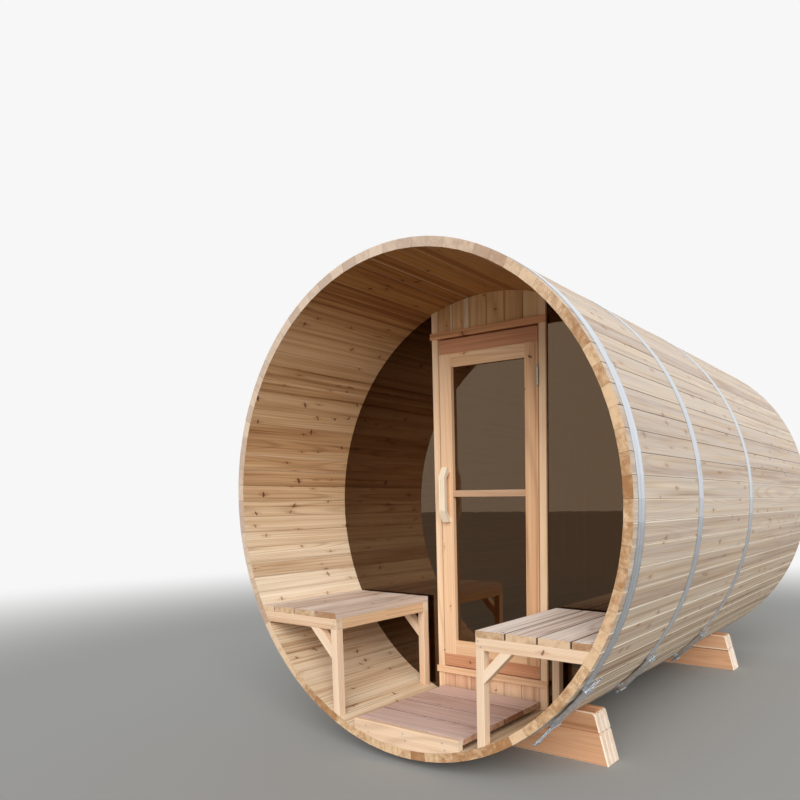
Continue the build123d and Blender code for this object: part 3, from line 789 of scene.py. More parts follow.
def rail_material():
    """Rails lie across the door, and the thin one in the middle is painted darker, as shade."""
    sheet = Sheet("rail_timber")
    colour, roughness, height = straight_grain(sheet, RAIL, "x", "z", RAIL_EDGES, 17.0)
    z = sheet.place()[2]
    # Painted shade: the middle rail is darkened.
    colour = sheet.tint(colour, opaque(MID_RAIL_SHADE), (z > RAIL_EDGES[1]) * (z < RAIL_EDGES[2]))
    return finish_timber(sheet, colour, roughness, height)


dress(board_material("stile_timber", CLEAR, "z", "x", STILE_EDGES, 11.0), "door_stiles")
dress(rail_material(), "door_rails")
dress(board_material("red_timber", RED, "x", "z", END_BOARD_EDGES, 61.0), "door_end_boards")
dress(board_material("handle_timber", GRIP, "z", "x", STILE_EDGES[:2], 67.0), "door_handle")
print(f"door {stile_high.x - stile_low.x:.3f} m wide, {stile_high.z - stile_low.z:.3f} m high")

# %% [markdown]
# ## The back wall
#
# The far end is closed by upright boards like those of the front wall, only wider. It could share the front
# wall's material, but its boards start at another place, and each has to end where its solid does.

# %% Timber of the back wall
BACKING = Timber(paint(240, 204, 164), paint(224, 180, 138), paint(190, 142, 102), FRESH_ENDS,
                 knots=0.6, contrast=0.7, spread=0.5, sap=0.1)
BACK_COVER = 0.14
BACK_COUNT = 17
BACK_EDGES = spaced(-BACK_COUNT / 2 * BACK_COVER, BACK_COVER, BACK_COUNT)
dress(wall_material("back_boarding", BACKING, BACK_EDGES, 71.0, BACK_COVER / 2, BACK_COVER), "back_wall")
back_low, back_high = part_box("back_wall")
print("back wall", round(back_high.x - back_low.x, 3), "m wide")

# %% [markdown]
# ## The seats
#
# People wear the seats. The slats have gone a dusty, greyed pink. The right-hand bench is drawn paler, as
# painted light, and the sides of the gaps are painted dark, as shade: strongly on the right, faintly on the
# left. Two materials could be drawn apart from each other, but they differ only in their tones, so one
# recipe takes the timber and how dark the painted gap shade is.

# %% Timber of the seats
WORN_ENDS = (paint(230, 198, 162), paint(176, 134, 98))
SEAT = Timber(paint(244, 230, 218), paint(228, 210, 196), paint(194, 166, 148), WORN_ENDS,
              knots=0.25, contrast=0.8, spread=0.6, streaks=1.5)
# A paler copy of the seat timber, as painted light on the right bench.
LIT_SEAT = Timber(paint(255, 248, 242), paint(250, 236, 226), paint(222, 198, 182), WORN_ENDS,
               knots=0.25, contrast=0.8, spread=0.6, streaks=1.6)
GAP_SHADE = paint(70, 48, 36)
bench_low, bench_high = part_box("right_bench_frame")
slat_low, slat_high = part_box("right_bench_slats")
BENCH_INNER = bench_low.x
SLAT_WIDTH = 0.137
SLAT_GAP = 0.008
SLAT_STARTS = spaced(BENCH_INNER, SLAT_WIDTH + SLAT_GAP, 4)
SLAT_EDGES = [-edge for edge in reversed(SLAT_STARTS)] + SLAT_STARTS
OUTER_STRIP = 0.01
SEAT_GAPS = (BENCH_INNER + OUTER_STRIP, BARREL_RADIUS)


def slat_material(name, timber, grain_axis, wide_axis, edges, seed, gaps, gap_shade):
    """Boards laid with gaps, between two distances from the middle, whose sides are painted dark there, as
    shade.
    """
    sheet = Sheet(name)
    colour, roughness, height = straight_grain(sheet, timber, grain_axis, wide_axis, edges, seed)
    wide = AXES.index(wide_axis)
    place = abs(sheet.place()[wide])
    # Painted shade: the sides of the gaps are darkened.
    shaded_gap_side = abs(sheet.facing()[wide]).between(*SIDE_FACING) * (place > gaps[0]) * (place < gaps[1])
    colour = sheet.mix(shaded_gap_side * gap_shade, colour, opaque(GAP_SHADE))
    return finish_timber(sheet, colour, roughness, height)


# Painted shade in the gaps: faint on the left bench, strong on the right, whose paler timber is painted
# light.
dress(slat_material("seat_timber", SEAT, "y", "x", SLAT_EDGES, 83.0, SEAT_GAPS, 0.15), "left_bench_slats")
dress(slat_material("lit_seat_timber", LIT_SEAT, "y", "x", SLAT_EDGES, 83.0, SEAT_GAPS, 0.85),
      "right_bench_slats")
print("slats", SLAT_WIDTH * 1000, "mm wide, gaps", SLAT_GAP * 1000, "mm")

# %% [markdown]
# ## Legs, aprons and braces
#
# The frames under the seats have stayed fresh. One solid holds legs that stand, aprons that lie across or
# along, and braces that slant, and a single direction of grain would be wrong on most of them. The solid
# could be cut up by hand, but its timbers can be told apart by their place: everything below the aprons is
# a leg or a brace, and between the two end frames there are only long aprons.

# %% Timber of the bench frames
FRESH = Timber(paint(248, 224, 196), paint(238, 206, 174), paint(218, 178, 142), FRESH_ENDS,
               knots=0.08, contrast=0.6, spread=0.4)
LEG = 0.038
APRON_HEIGHT = 0.05
TOLERANCE = 0.0005
DIAGONAL = 2 ** -0.5
SHADED_SIDE = (0.84, 0.72, 0.56)


def choose(share, chosen, other):
    """One of two numbers; the share is 1 for the first and 0 for the second."""
    return other + share * (chosen - other)


def bench_frame_material():
    """The way of the grain depends on which timber of the frame the place is on."""
    sheet = Sheet("bench_frame_timber")
    x, y, z = sheet.place()
    face_x, face_y, face_z = [abs(face).between(*END_FACING) for face in sheet.facing()]
    out = abs(x) - (BENCH_INNER + LEG / 2)
    rise = z - (slat_low.z - APRON_HEIGHT / 2)
    back = y > (bench_low.y + bench_high.y) / 2
    from_end = y - choose(back, bench_high.y - LEG / 2, bench_low.y + LEG / 2)
    is_long = (y > bench_low.y + LEG + TOLERANCE) * (y < bench_high.y - LEG - TOLERANCE)
    is_low = rise < -APRON_HEIGHT / 2
    is_leg = is_low * (out < LEG / 2 + TOLERANCE)
    is_brace = is_low - is_leg

    slanting = (out + rise) * DIAGONAL
    square_on = (rise - out) * DIAGONAL
    along = choose(is_long, y, choose(is_leg, z, choose(is_brace, slanting, out)))
    across = choose(is_leg, out, choose(is_brace, square_on, rise))
    depth = choose(is_long, out, from_end)
    end = (1 - is_long) * (is_leg * face_z + (1 - is_low) * face_x) + is_long * face_y
    board = (x > 0) * 7 + back * 3 + is_leg * 19 + is_brace * 31 + is_long * 43
    colour, roughness, height = grain(sheet, FRESH, along, across, depth, board + 97.0, end)
    colour = sheet.tint(colour, opaque(SHADED_SIDE), is_long * 0.8)
    return finish_timber(sheet, colour, roughness, height)


dress(bench_frame_material(), "left_bench_frame", "right_bench_frame")
print(f"bench frames {bench_high.y - bench_low.y:.3f} m deep, {bench_high.z - bench_low.z:.3f} m high")

# %% [markdown]
# ## Floors
#
# Four boards lie across the porch on sleepers that follow the barrel, behind a fascia. Feet and rain have
# turned them dusty pink. The cabin's floor is of the same boards, laid lengthwise on bearers. The timbers
# under the floors hardly show and could be left plain, but someone may look from below, and then plain ones
# would look unfinished.

# %% Timber of the floors
DECK = Timber(paint(234, 210, 202), paint(218, 189, 179), paint(190, 154, 142),
              (paint(214, 176, 148), paint(150, 104, 76)), knots=0.14, contrast=0.7, spread=0.4)
deck_low, deck_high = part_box("porch_floor_boards")
DECK_COUNT = 4
DECK_GAP = 0.005
DECK_PITCH = (deck_high.y - deck_low.y + DECK_GAP) / DECK_COUNT
DECK_EDGES = spaced(deck_low.y - DECK_GAP / 2, DECK_PITCH, DECK_COUNT)
DECK_GAPS = (0.0, -deck_low.y - OUTER_STRIP)
FASCIA_EDGES = [0, 0.2]
JOIST_EDGES = [-0.4, -0.1, 0.1, 0.4]
CABIN_PITCH = 0.15125
BEARER_EDGES = spaced(-0.9, 0.75, 4)
floor_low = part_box("cabin_floor_boards")[0]
CABIN_EDGES = spaced(floor_low.x, CABIN_PITCH, 4)

# The sides of the gaps between deck boards are painted dark, as shade.
dress(slat_material("deck_timber", DECK, "x", "y", DECK_EDGES, 113.0, DECK_GAPS, 0.85),
      "porch_floor_boards")
dress(board_material("fascia_timber", FRESH, "x", "z", FASCIA_EDGES, 127.0), "porch_floor_fascia")
dress(board_material("joist_timber", BOARDING, "y", "x", JOIST_EDGES, 131.0), "porch_floor_joists")
dress(board_material("cabin_floor_timber", DECK, "y", "x", CABIN_EDGES, 137.0), "cabin_floor_boards")
dress(board_material("bearer_timber", BOARDING, "x", "y", BEARER_EDGES, 139.0), "cabin_floor_bearers")
print("deck boards", round(DECK_PITCH * 1000), "mm apart")

# %% [markdown]
# ## Cradles
#
# The barrel rests on two cradles, each of a beam and two end blocks, three timbers thick. They are redwood
# whose sawn ends dry out almost white. The corners that were planed off are painted paler too, partly as
# their own pale wood and partly as highlights. The three timbers could look like one, but then the end
# would show arcs of one huge log, so they are numbered both ways. Under the far cradle's blocks a dark line
# is drawn along the beam, just below the joint.

# %% Timber of the cradles
HEAVY = Timber(paint(236, 188, 148), paint(220, 168, 128), paint(192, 136, 96),
               (paint(255, 244, 230), paint(242, 218, 194)), knots=0.6, contrast=0.8, spread=0.4, sap=0.0)
CORNER_PALE_AND_HIGHLIGHT = paint(252, 232, 208)
BEAM_TOP = 0.14
CORNER = 0.006
CRADLE_EDGES = [0, BEAM_TOP, 0.4]
PLY_COUNT = 3


def cradle_material(name, seed, joint_line):
    """Beams and blocks with paler corners, partly painted highlights; the third argument is 1 where a dark
    line is drawn under the joint.
    """
    low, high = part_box(name)
    plies = spaced(low.y, (high.y - low.y) / PLY_COUNT, PLY_COUNT)
    sheet = Sheet(name + "_timber")
    colour, roughness, height = straight_grain(sheet, HEAVY, "x", "z", CRADLE_EDGES, seed, plies)
    x, y, z = sheet.place()
    sideways = abs(sheet.facing()[1])
    outer = abs(y - (low.y + high.y) / 2) > (high.y - low.y) / 2 - CORNER
    at_joint = (z > BEAM_TOP - CORNER) * (z < BEAM_TOP + CORNER)
    # Paler corners: partly the planed wood's own tone, partly painted highlights.
    corner = sideways.between(0.2, 0.4) * sideways.between(0.97, 0.88) * outer
    colour = sheet.mix(corner * (1 - at_joint * (1 - joint_line)) * 0.75, colour, opaque(CORNER_PALE_AND_HIGHLIGHT))
    # A dark line drawn along the beam just below the joint, on the far cradle only.
    under_joint = (z > BEAM_TOP - 2 * CORNER) * (z < BEAM_TOP - CORNER) * outer
    colour = sheet.mix(under_joint * joint_line * 0.6, colour, opaque(JOINT_BROWN))
    return finish_timber(sheet, colour, roughness, height)


for name, seed, joint_line in (("front_cradle", 149.0, 0), ("back_cradle", 163.0, 1)):
    dress(cradle_material(name, seed, joint_line), name)
print("cradle beams", BEAM_TOP * 1000, "mm high")

# %% [markdown]
# ## Galvanised steel
#
# Hoops, tensioners and hinges are coated steel. Zinc sets in flakes and mottles, and takes small grey
# stains. One tone of grey with a gloss would look like plastic, so all three vary the tone. Rolled band also
# has long streaks that run with the hoop, fine and broad, and these draw the reflections out round the
# barrel. A darker line is painted along each edge of a band, partly dirt and partly the shade where the band
# meets the staves. Fittings are stamped and dipped, so theirs are spots.

# %% Mix the steel
ZINC_STAIN = paint(120, 118, 114)
ZINC_RELIEF = 0.0002
FLAKES = 260
MOTTLES = 40
SPOTS = 60
FINE_STREAKS = (3, 900)
BROAD_STREAKS = (1.6, 95)
BAND_SHADED_EDGE = (0.0006, 0.0045)
HOOPS = ("hoop_1", "hoop_2", "hoop_3")


def zinc(sheet, tone, streak, wear_and_shade, smooth, rough):
    """Coated steel of a tone, with flakes, mottles and stains over its streaks and wear."""
    x, y, z = sheet.place()
    mottle = sheet.noise(sheet.vector(x * MOTTLES, y * MOTTLES, z * MOTTLES), 4, 0.65)
    cell = {"Vector": sheet.vector(x, y, z), "Scale": FLAKES}
    flake = sheet.split(sheet.node("ShaderNodeTexVoronoi", None, cell, 1))[0]
    shade = (0.86 + 0.16 * streak + 0.1 * (mottle - 0.5) + 0.05 * flake) * wear_and_shade
    colour = sheet.tint(opaque(tone), sheet.vector(shade, shade, shade))
    stain = sheet.noise(sheet.vector(x * 6, y * 14, z * 6), 4, 0.6).between(0.62, 0.8)
    colour = sheet.mix(stain * 0.35, colour, opaque(ZINC_STAIN))
    roughness = smooth + (rough - smooth) * mottle + 0.12 * stain
    return sheet.finish(colour, roughness, streak * 0.6 + mottle * 0.4, ZINC_RELIEF, Metallic=1.0)


def band_material():
    """Rolled band, with streaks along the hoops and darker edges, painted as dirt and shade."""
    sheet = Sheet("galvanised_band")
    x, y, z = sheet.place()
    radius, angle, up = round_axis(x, z)
    bent_round = (angle, y, radius)
    fine = long_noise(sheet, bent_round, FINE_STREAKS, 3, 0.6)
    broad = long_noise(sheet, bent_round, BROAD_STREAKS, 2)
    inward = y * 0 - 1
    for name in HOOPS:
        low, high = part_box(name)
        inward = inward.or_more((high.y - low.y) / 2 - abs(y - (low.y + high.y) / 2))
    # Painted shade and dirt: each band is darker along its edges, where it meets the staves.
    edge = 1 - inward.between(*BAND_SHADED_EDGE)
    wear_and_shade = (0.72 + 0.56 * broad) * (1 - 0.34 * edge)
    return zinc(sheet, paint(228, 232, 238), fine, wear_and_shade, 0.3, 0.55)


def fitting_material(name, tone, smooth, rough):
    """Stamped and dipped fittings, with spots."""
    sheet = Sheet(name)
    x, y, z = sheet.place()
    spots = sheet.noise(sheet.vector(x * SPOTS, y * SPOTS, z * SPOTS), 3, 0.6)
    return zinc(sheet, tone, spots, 0.58 + 0.72 * spots, smooth, rough)


fitting_steel = fitting_material("galvanised_fittings", paint(206, 209, 212), 0.28, 0.55)
hinge_steel = fitting_material("hinge_steel", paint(166, 160, 152), 0.3, 0.5)
dress(band_material(), *HOOPS)
dress(fitting_steel, "tensioner_1", "tensioner_2", "tensioner_3")
dress(hinge_steel, "door_hinge_leaves", "post_hinge_leaves")
print("steel on", len(HOOPS), "hoops, their tensioners and the hinges")

# %% [markdown]
# ## Tinted glass
#
# The panes are bronze glass, dark from outside because the cabin is darker than the day. A brown surface
# that is half see-through would do from afar, but real glass filters the light twice, going in and coming
# out, and mirrors what is in front of it. So this is true glass with its colour inside, and a faint film of
# dust changes the roughness a little from place to place.

# %% Mix the glass
BRONZE = paint(112, 78, 52)
MIRROR_TINT = paint(255, 218, 178)
MIRROR_STRENGTH = 2.0
GLASS_RELIEF = 0.0002


def glass_material():
    sheet = Sheet("bronze_glass")
    x, y, z = sheet.place()
    haze = sheet.noise(sheet.vector(x * 3, y * 3, z * 2), 4, 0.6)
    smear = sheet.noise(sheet.vector(x * 18, y * 18, z * 3), 3, 0.5)
    tone = 0.94 + 0.12 * haze
    colour = sheet.tint(opaque(BRONZE), sheet.vector(tone, tone, tone))
    roughness = 0.01 + 0.02 * smear * haze
    return sheet.finish(colour, roughness, haze, GLASS_RELIEF, Transmission_Weight=1.0,
                        IOR=MIRROR_STRENGTH, Specular_Tint=opaque(MIRROR_TINT))


dress(glass_material(), "door_glass", "left_side_glass", "right_side_glass")
print("bronze of the panes:", [round(part, 2) for part in BRONZE])

# %% [markdown]
# ## Small hardware
#
# Screws, rivets, washers and threads are too small for the solids, but they are what the eye looks for close
# up. Each could be an object of its own, and there would be a hundred of them to carry about. So each kind
# is modelled once, as a small template that stands on the ground with its head up. Copies are turned to the
# face that they sit on and gathered into one piece, which rides on the part that it is driven into.


# %% Helpers for small hardware
def template(build):
    """A mesh made by a short recipe, to be copied many times."""
    shape = bmesh.new()
    build(shape)
    bmesh.ops.recalc_face_normals(shape, faces=shape.faces)
    mesh = bpy.data.meshes.new(build.__name__)
    shape.to_mesh(mesh)
    shape.free()
    return mesh


def gather(name, body, material, model, places):
    """One piece made of copies of a template, each moved by its own matrix."""
    shape = bmesh.new()
    count = len(model.vertices)
    for index, place in enumerate(places):
        shape.from_mesh(model)
        shape.verts.ensure_lookup_table()
        bmesh.ops.transform(shape, matrix=place, verts=shape.verts[index * count:])
    mesh = bpy.data.meshes.new(name)
    shape.to_mesh(mesh)
    shape.free()
    mesh.materials.append(material)
    piece = bpy.data.objects.new(name, mesh)
    bpy.context.scene.collection.objects.link(piece)
    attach(piece, body)
    print(name, len(mesh.polygons), "faces")


def facing_matrix(point, direction, turn=0.0):
    """Moves a template to a point, with its head towards a direction."""
    aim = Vector(direction).to_track_quat("Z", "Y").to_matrix().to_4x4()
    return Matrix.Translation(point) @ aim @ Matrix.Rotation(turn, 4, "Z")


UP = (0, 0, 1)
DOWN = (0, 0, -1)
FRONT = (0, -1, 0)
tipped = math.degrees(facing_matrix((0, 0, 0), FRONT).to_euler().x)
print("a head that faces front is tipped by", round(tipped), "degrees")

# %% [markdown]
# ## Screws
#
# Deck screws hold every slat and board. The head is sunk almost level, with a square socket for the
# driver. A dark dot would do from afar, but close up the socket has to be a hole, so the top is inset, the
# inner corners are drawn out to a square, and that face is pushed down. Two screws go through each board
# wherever it crosses a bearer, set in from the edges so that the wood doesn't split.

# %% Model a screw
SCREW_RADIUS = 0.004
SCREW_PROUD = 0.0003
SCREW_TAPER = 0.93
SOCKET_HALF = 0.34 * SCREW_RADIUS
SOCKET_DEPTH = 1.6 * SCREW_PROUD
TURN_STEP = 0.9


def deck_screw(shape):
    """A flat head with a square socket."""
    bmesh.ops.create_cone(shape, cap_ends=True, segments=16, radius1=SCREW_RADIUS,
                          radius2=SCREW_RADIUS * SCREW_TAPER, depth=2 * SCREW_PROUD)
    top = max(shape.faces, key=lambda face: face.calc_center_median().z)
    bmesh.ops.inset_region(shape, faces=[top], thickness=SCREW_RADIUS / 2)
    for vertex in top.verts:
        vertex.co.xy *= SOCKET_HALF / max(abs(vertex.co.x), abs(vertex.co.y))
    socket = bmesh.ops.extrude_discrete_faces(shape, faces=[top])["faces"]
    bmesh.ops.translate(shape, vec=(0, 0, -SOCKET_DEPTH), verts=socket[0].verts)


def drive(name, points, direction):
    """One piece of screws at points, their sockets pointing every way, as simply driven screws do."""
    places = [facing_matrix(point, direction, index * TURN_STEP) for index, point in enumerate(points)]
    gather(name, "root", fitting_steel, screw, places)


screw = template(deck_screw)
print("screw head", SCREW_RADIUS * 2000, "mm,", len(screw.polygons), "faces")

# %% [markdown]
# ## Where the screws go
#
# A slat is screwed to both end frames of its bench, a deck board to three sleepers, the fascia to the same
# three, and each bench's front apron to its leg. The places could be typed in, but every one lies a set
# distance from an edge, so loops over the boards and the timbers below them find them all. On the fascia and
# the aprons two screws share a timber, each with its shift sideways and its drop from the top edge.

# %% Drive the screws
SEAT_INSET = 0.03
CURVE_INSET = 0.032
DECK_INSET = 0.03
SLEEPERS = (-0.22, 0.0, 0.22)
FASCIA_PAIR = ((-0.006, 0.022), (0.007, 0.05))
APRON_PAIR = ((-0.007, 0.014), (0.006, 0.036))
SIDES = (-1, 1)

seat_points = []
for side in SIDES:
    for start in SLAT_STARTS[:-1]:
        outer = min(start + SLAT_WIDTH - SEAT_INSET, slat_high.x - CURVE_INSET)
        for x in (start + SEAT_INSET, outer):
            for y in (bench_low.y + LEG / 2, bench_high.y - LEG / 2):
                seat_points.append((side * x, y, slat_high.z))
deck_points = []
for front in DECK_EDGES[:-1]:
    near = front + DECK_GAP / 2 + DECK_INSET
    far = front + DECK_PITCH - DECK_GAP / 2 - DECK_INSET
    deck_points += [(x, y, deck_high.z) for y in (near, far) for x in SLEEPERS]
fascia_low, fascia_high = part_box("porch_floor_fascia")
fascia_points = [(x + shift, fascia_low.y, fascia_high.z - drop) for x in SLEEPERS
                 for shift, drop in FASCIA_PAIR]
apron_points = [(side * (BENCH_INNER + LEG / 2 + shift), bench_low.y, slat_low.z - drop)
                for side in SIDES for shift, drop in APRON_PAIR]
drive("seat_screws", seat_points, UP)
drive("deck_screws", deck_points, UP)
drive("fascia_screws", fascia_points, FRONT)
drive("bench_frame_screws", apron_points, FRONT)

# %% [markdown]
# ## Threads, washers and rivets
#
# The tensioners pull the hoops tight. Each has two threaded rods. Rings stacked along a rod would pass for
# a thread until a nut is looked at closely, so the thread is a real helix: a small triangle is spun round
# the rod while it climbs, one pitch in every turn. Washers spread the pull of the nuts on the plates, and
# are spun from their section. Rivets are half spheres, pressed low.

# %% Model the fittings
THREAD_PITCH = 0.00125
THREAD_SEGMENTS = 12
THREAD_TURNS = 8
THREAD_ROOT = 0.0036
THREAD_CREST = 0.0042
WASHER_BORE = 0.0043
WASHER_RADIUS = 0.0086
WASHER_THICKNESS = 0.0016
WASHER_EASE = 0.0004
RIVET_RADIUS = 0.0036


def spin(shape, geometry, segments, turns=1, climb=0.0, merge=True):
    """Spin geometry round the upright axis; climb is the rise in each step."""
    bmesh.ops.spin(shape, geom=geometry, cent=(0, 0, 0), axis=UP, dvec=(0, 0, climb),
                   angle=math.tau * turns, steps=segments * turns, use_merge=merge)


def thread_turns(shape):
    """A few turns of a triangular ridge that climbs one pitch in each turn."""
    profile = [(THREAD_ROOT, 0.0), (THREAD_CREST, 0.5), (THREAD_ROOT, 1.0)]
    corners = [shape.verts.new((radius, 0, height * THREAD_PITCH)) for radius, height in profile]
    climb = THREAD_PITCH / THREAD_SEGMENTS
    spin(shape, [shape.faces.new(corners)], THREAD_SEGMENTS, THREAD_TURNS, climb, merge=False)


def washer(shape):
    """A flat ring with softened edges, spun from its section."""
    section = [(WASHER_BORE, 0.0),
               (WASHER_RADIUS - WASHER_EASE, 0.0),
               (WASHER_RADIUS, WASHER_EASE),
               (WASHER_RADIUS, WASHER_THICKNESS - WASHER_EASE),
               (WASHER_RADIUS - WASHER_EASE, WASHER_THICKNESS),
               (WASHER_BORE, WASHER_THICKNESS)]
    corners = [shape.verts.new((radius, 0, height)) for radius, height in section]
    edges = [shape.edges.new(pair) for pair in zip(corners, corners[1:] + corners[:1])]
    spin(shape, corners + edges, 20)


def rivet(shape):
    """A low round head."""
    bmesh.ops.create_uvsphere(shape, u_segments=12, v_segments=6, radius=RIVET_RADIUS)
    bmesh.ops.bisect_plane(shape, geom=shape.verts[:] + shape.edges[:] + shape.faces[:],
                           plane_co=(0, 0, 0), plane_no=DOWN, clear_outer=True)
    bmesh.ops.contextual_create(shape, geom=[edge for edge in shape.edges if edge.is_boundary])
    bmesh.ops.scale(shape, vec=(1, 1, 0.5), verts=shape.verts)


thread_model = template(thread_turns)
washer_model = template(washer)
rivet_model = template(rivet)
print("faces:", len(thread_model.polygons), len(washer_model.polygons), len(rivet_model.polygons))

# %% [markdown]
# ## Fit the tensioners
#
# A tensioner sits across the gap in its hoop. Its pieces could be placed by width and height, but they
# follow the curve, so each has an angle round the barrel and a distance from the axis. The first tensioner's
# rods reach further below it than the others' do. Thread is wound only where the rods show, beyond the nuts,
# and four rivets fix each plate to its end of the band.

# %% Fit threads, washers and rivets
ANGLES = (-42.9, -43.9, -46.2)
SPREAD = 10.7
PLATE = 0.004
ROD_LIFT = 0.012
ROD_SPACING = 0.034
REACH_ABOVE = (0.065, 0.029, 0.029)
REACH_BELOW = (0.130, 0.029, 0.029)
NUT = 0.007
RIVET_STEP = 0.0095
RIVET_ASIDE = 0.018
band_corner = BAND_RADIUS / math.cos(STAVE_TURN / 2)
rod_radius = band_corner + ROD_LIFT
flange_reach = rod_radius * math.tan(math.radians(SPREAD / 2)) + PLATE


def around_barrel(angle, radius, y):
    """A point by its angle and distance, the direction out from the axis, and the way the angle grows."""
    turn = math.radians(angle)
    out = Vector((math.cos(turn), 0, math.sin(turn)))
    on = Vector((-math.sin(turn), 0, math.cos(turn)))
    return Vector((0, y, AXIS_Z)) + out * radius, out, on


def thread_places(rod, reach):
    """Runs of turns set end to end along a rod, from the nut to the rod's end, as far as they fit."""
    run = THREAD_TURNS * THREAD_PITCH
    start = flange_reach + NUT
    count = int((flange_reach + reach - start) / run)
    return [rod @ Matrix.Translation((0, 0, start + index * run)) for index in range(count)]


def rod_fittings(angle, middle, above, below):
    """Threads and washers of the two rods."""
    threads = []
    washers = []
    for side in SIDES:
        point, out, on = around_barrel(angle, rod_radius, middle + side * ROD_SPACING / 2)
        threads += thread_places(facing_matrix(point, on), above)
        threads += thread_places(facing_matrix(point, -on), below)
        washers.append(facing_matrix(point + on * flange_reach, on))
        washers.append(facing_matrix(point - on * flange_reach, -on))
    return threads, washers


def rivet_places(angle, middle):
    """Four rivets on the plate at each end of the band."""
    places = []
    for end in SIDES:
        for step in (-RIVET_STEP, RIVET_STEP):
            turned = angle + end * SPREAD / 2 + math.degrees(step / band_corner)
            for aside in (-RIVET_ASIDE, RIVET_ASIDE):
                point, out, on = around_barrel(turned, band_corner + PLATE, middle + aside)
                places.append(facing_matrix(point, out))
    return places


for number, (angle, above, below) in enumerate(zip(ANGLES, REACH_ABOVE, REACH_BELOW), start=1):
    low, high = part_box(f"hoop_{number}")
    middle = (low.y + high.y) / 2
    threads, washers = rod_fittings(angle, middle, above, below)
    rivets = rivet_places(angle, middle)
    for kind, model, places in (("rod_threads", thread_model, threads),
                                ("washers", washer_model, washers),
                                ("rivets", rivet_model, rivets)):
        gather(f"{kind}_{number}", "root", fitting_steel, model, places)

# %% [markdown]
# ## Hinge pins
#
# Each butt hinge turns on a loose pin. A turned button closes it at the top and the foot, so that the pin
# can't drop out and the knuckles look finished. A button is round about one axis, like anything turned, so
# it is spun from one outline: a collar, a neck and a small dome.

# %% Cap the hinge pins
HINGE_HEIGHT = 0.09
KNUCKLE_RADIUS = 0.006
BUTTON_OUTLINE = [(0.0, 0.0), (0.0056, 0.0), (0.0056, 0.0008), (0.0044, 0.0014),
                  (0.0042, 0.0022), (0.003, 0.0034), (0.0, 0.0039)]
hinge_low, hinge_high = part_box("post_hinge_leaves")


def pin_button(shape):
    """A collar and a small dome."""
    corners = [shape.verts.new((radius, 0, height)) for radius, height in BUTTON_OUTLINE]
    edges = [shape.edges.new(pair) for pair in zip(corners, corners[1:])]
    spin(shape, corners + edges, 16)
    bmesh.ops.remove_doubles(shape, verts=shape.verts, dist=0.00001)


pin_x = (stile_high.x + hinge_high.x) / 2
pin_y = hinge_low.y + KNUCKLE_RADIUS
caps = []
for foot in (hinge_low.z, hinge_high.z - HINGE_HEIGHT):
    caps.append(facing_matrix((pin_x, pin_y, foot + HINGE_HEIGHT), UP))
    caps.append(facing_matrix((pin_x, pin_y, foot), DOWN))
gather("hinge_pin_buttons", "root", hinge_steel, template(pin_button), caps)

# %% [markdown]
# ## A plain floor
#
# The sauna stands on a floor that shows its shadow and nothing else. An edge or a horizon would draw the
# eye, so the floor fades into the backdrop with the distance. Only what the camera or the glass sees fades:
# the floor that lights the sauna from below stays grey, or the timber would glow.

# %% Studio floor
FLOOR_RADIUS = 60
FLOOR_TONE = opaque((0.36, 0.36, 0.35))
BACKDROP = opaque((0.93, 0.93, 0.93))
FADE = (3.5, 9.0)


def seen_by(sheet, *kinds):
    """1 where a ray of one of these kinds arrives, which shows the backdrop and not the light."""
    rays = sheet.node("ShaderNodeLightPath", None, None, kinds)
    share = rays[0]
    for ray in rays[1:]:
        share = share.or_more(ray)
    return share


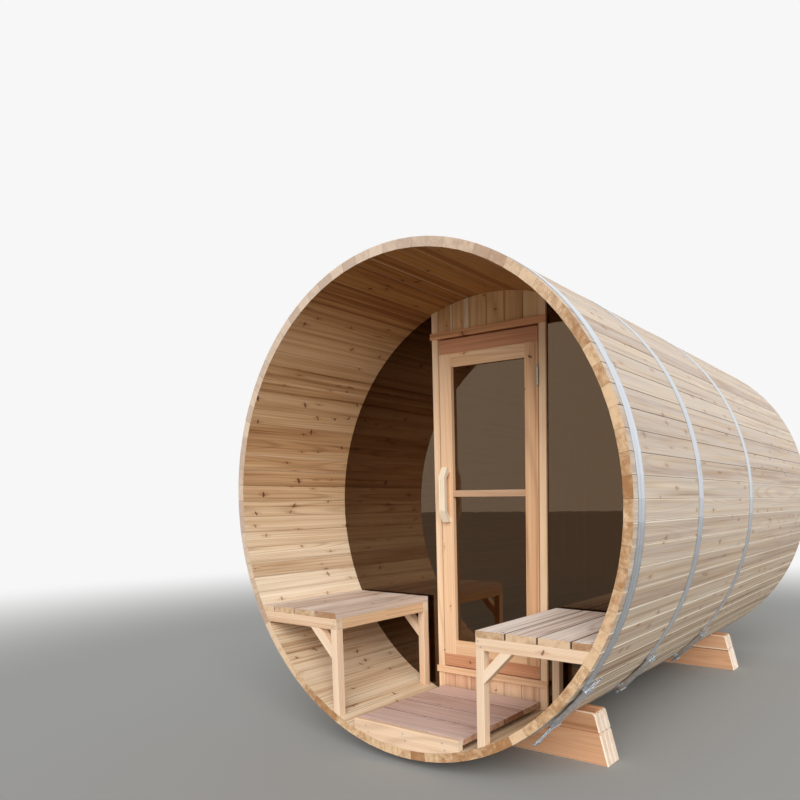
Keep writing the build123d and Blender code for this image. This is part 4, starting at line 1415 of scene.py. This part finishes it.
def floor_material():
    sheet = Sheet("studio_floor")
    x, y, z = sheet.place()
    away = (x * x + y * y).root().between(*FADE)
    matte = sheet.node("ShaderNodeBsdfDiffuse", None, {"Color": FLOOR_TONE})
    glow = sheet.node("ShaderNodeEmission", None, {"Color": BACKDROP, "Strength": 1.0})
    share = away * seen_by(sheet, "Is Camera Ray", "Is Transmission Ray")
    return sheet.close(sheet.node("ShaderNodeMixShader", None, {0: share, 1: matte, 2: glow}))


def make_floor():
    shape = bmesh.new()
    bmesh.ops.create_circle(shape, cap_ends=True, segments=64, radius=FLOOR_RADIUS)
    mesh = bpy.data.meshes.new("studio_floor")
    shape.to_mesh(mesh)
    shape.free()
    mesh.materials.append(floor_material())
    floor = bpy.data.objects.new("studio_floor", mesh)
    bpy.context.scene.collection.objects.link(floor)


make_floor()
print("floor radius", FLOOR_RADIUS, "m, fading from", FADE[0], "to", FADE[1], "m")

# %% [markdown]
# ## Soft light
#
# One wide lamp high in front stands for daylight through cloud, and the world fills in the shadows. Several
# lamps would give each edge a highlight of its own, but daylight comes from one side. The levels are chosen
# so that a colour looks on the picture about as it is written in the material, and the backdrop is bright
# only to the eye.

# %% Studio light
LIGHT_LEVEL = 0.5
LAMP_LEVEL = 2.9
LAMP_SOFTNESS = 55
LAMP_HEADING = 36
LAMP_HEIGHT = 29


def make_world():
    sheet = Sheet("studio", world=True)
    direct = seen_by(sheet, "Is Camera Ray", "Is Glossy Ray", "Is Transmission Ray")
    strength = direct * (1 - LIGHT_LEVEL) + LIGHT_LEVEL
    background = sheet.node("ShaderNodeBackground", None, {"Color": BACKDROP, "Strength": strength})
    bpy.context.scene.world = sheet.close(background)


def make_lamp():
    """A broad lamp in front of the porch, a little to the right."""
    data = bpy.data.lights.new("sky_lamp", "SUN")
    data.energy = LAMP_LEVEL
    data.angle = math.radians(LAMP_SOFTNESS)
    lamp = bpy.data.objects.new("sky_lamp", data)
    heading = Matrix.Rotation(math.radians(LAMP_HEADING), 4, "Z")
    tilt = Matrix.Rotation(math.radians(90 - LAMP_HEIGHT), 4, "X")
    lamp.matrix_world = heading @ tilt
    bpy.context.scene.collection.objects.link(lamp)


make_world()
make_lamp()
print("world at", LIGHT_LEVEL, "lamp at", LAMP_LEVEL)

# %% [markdown]
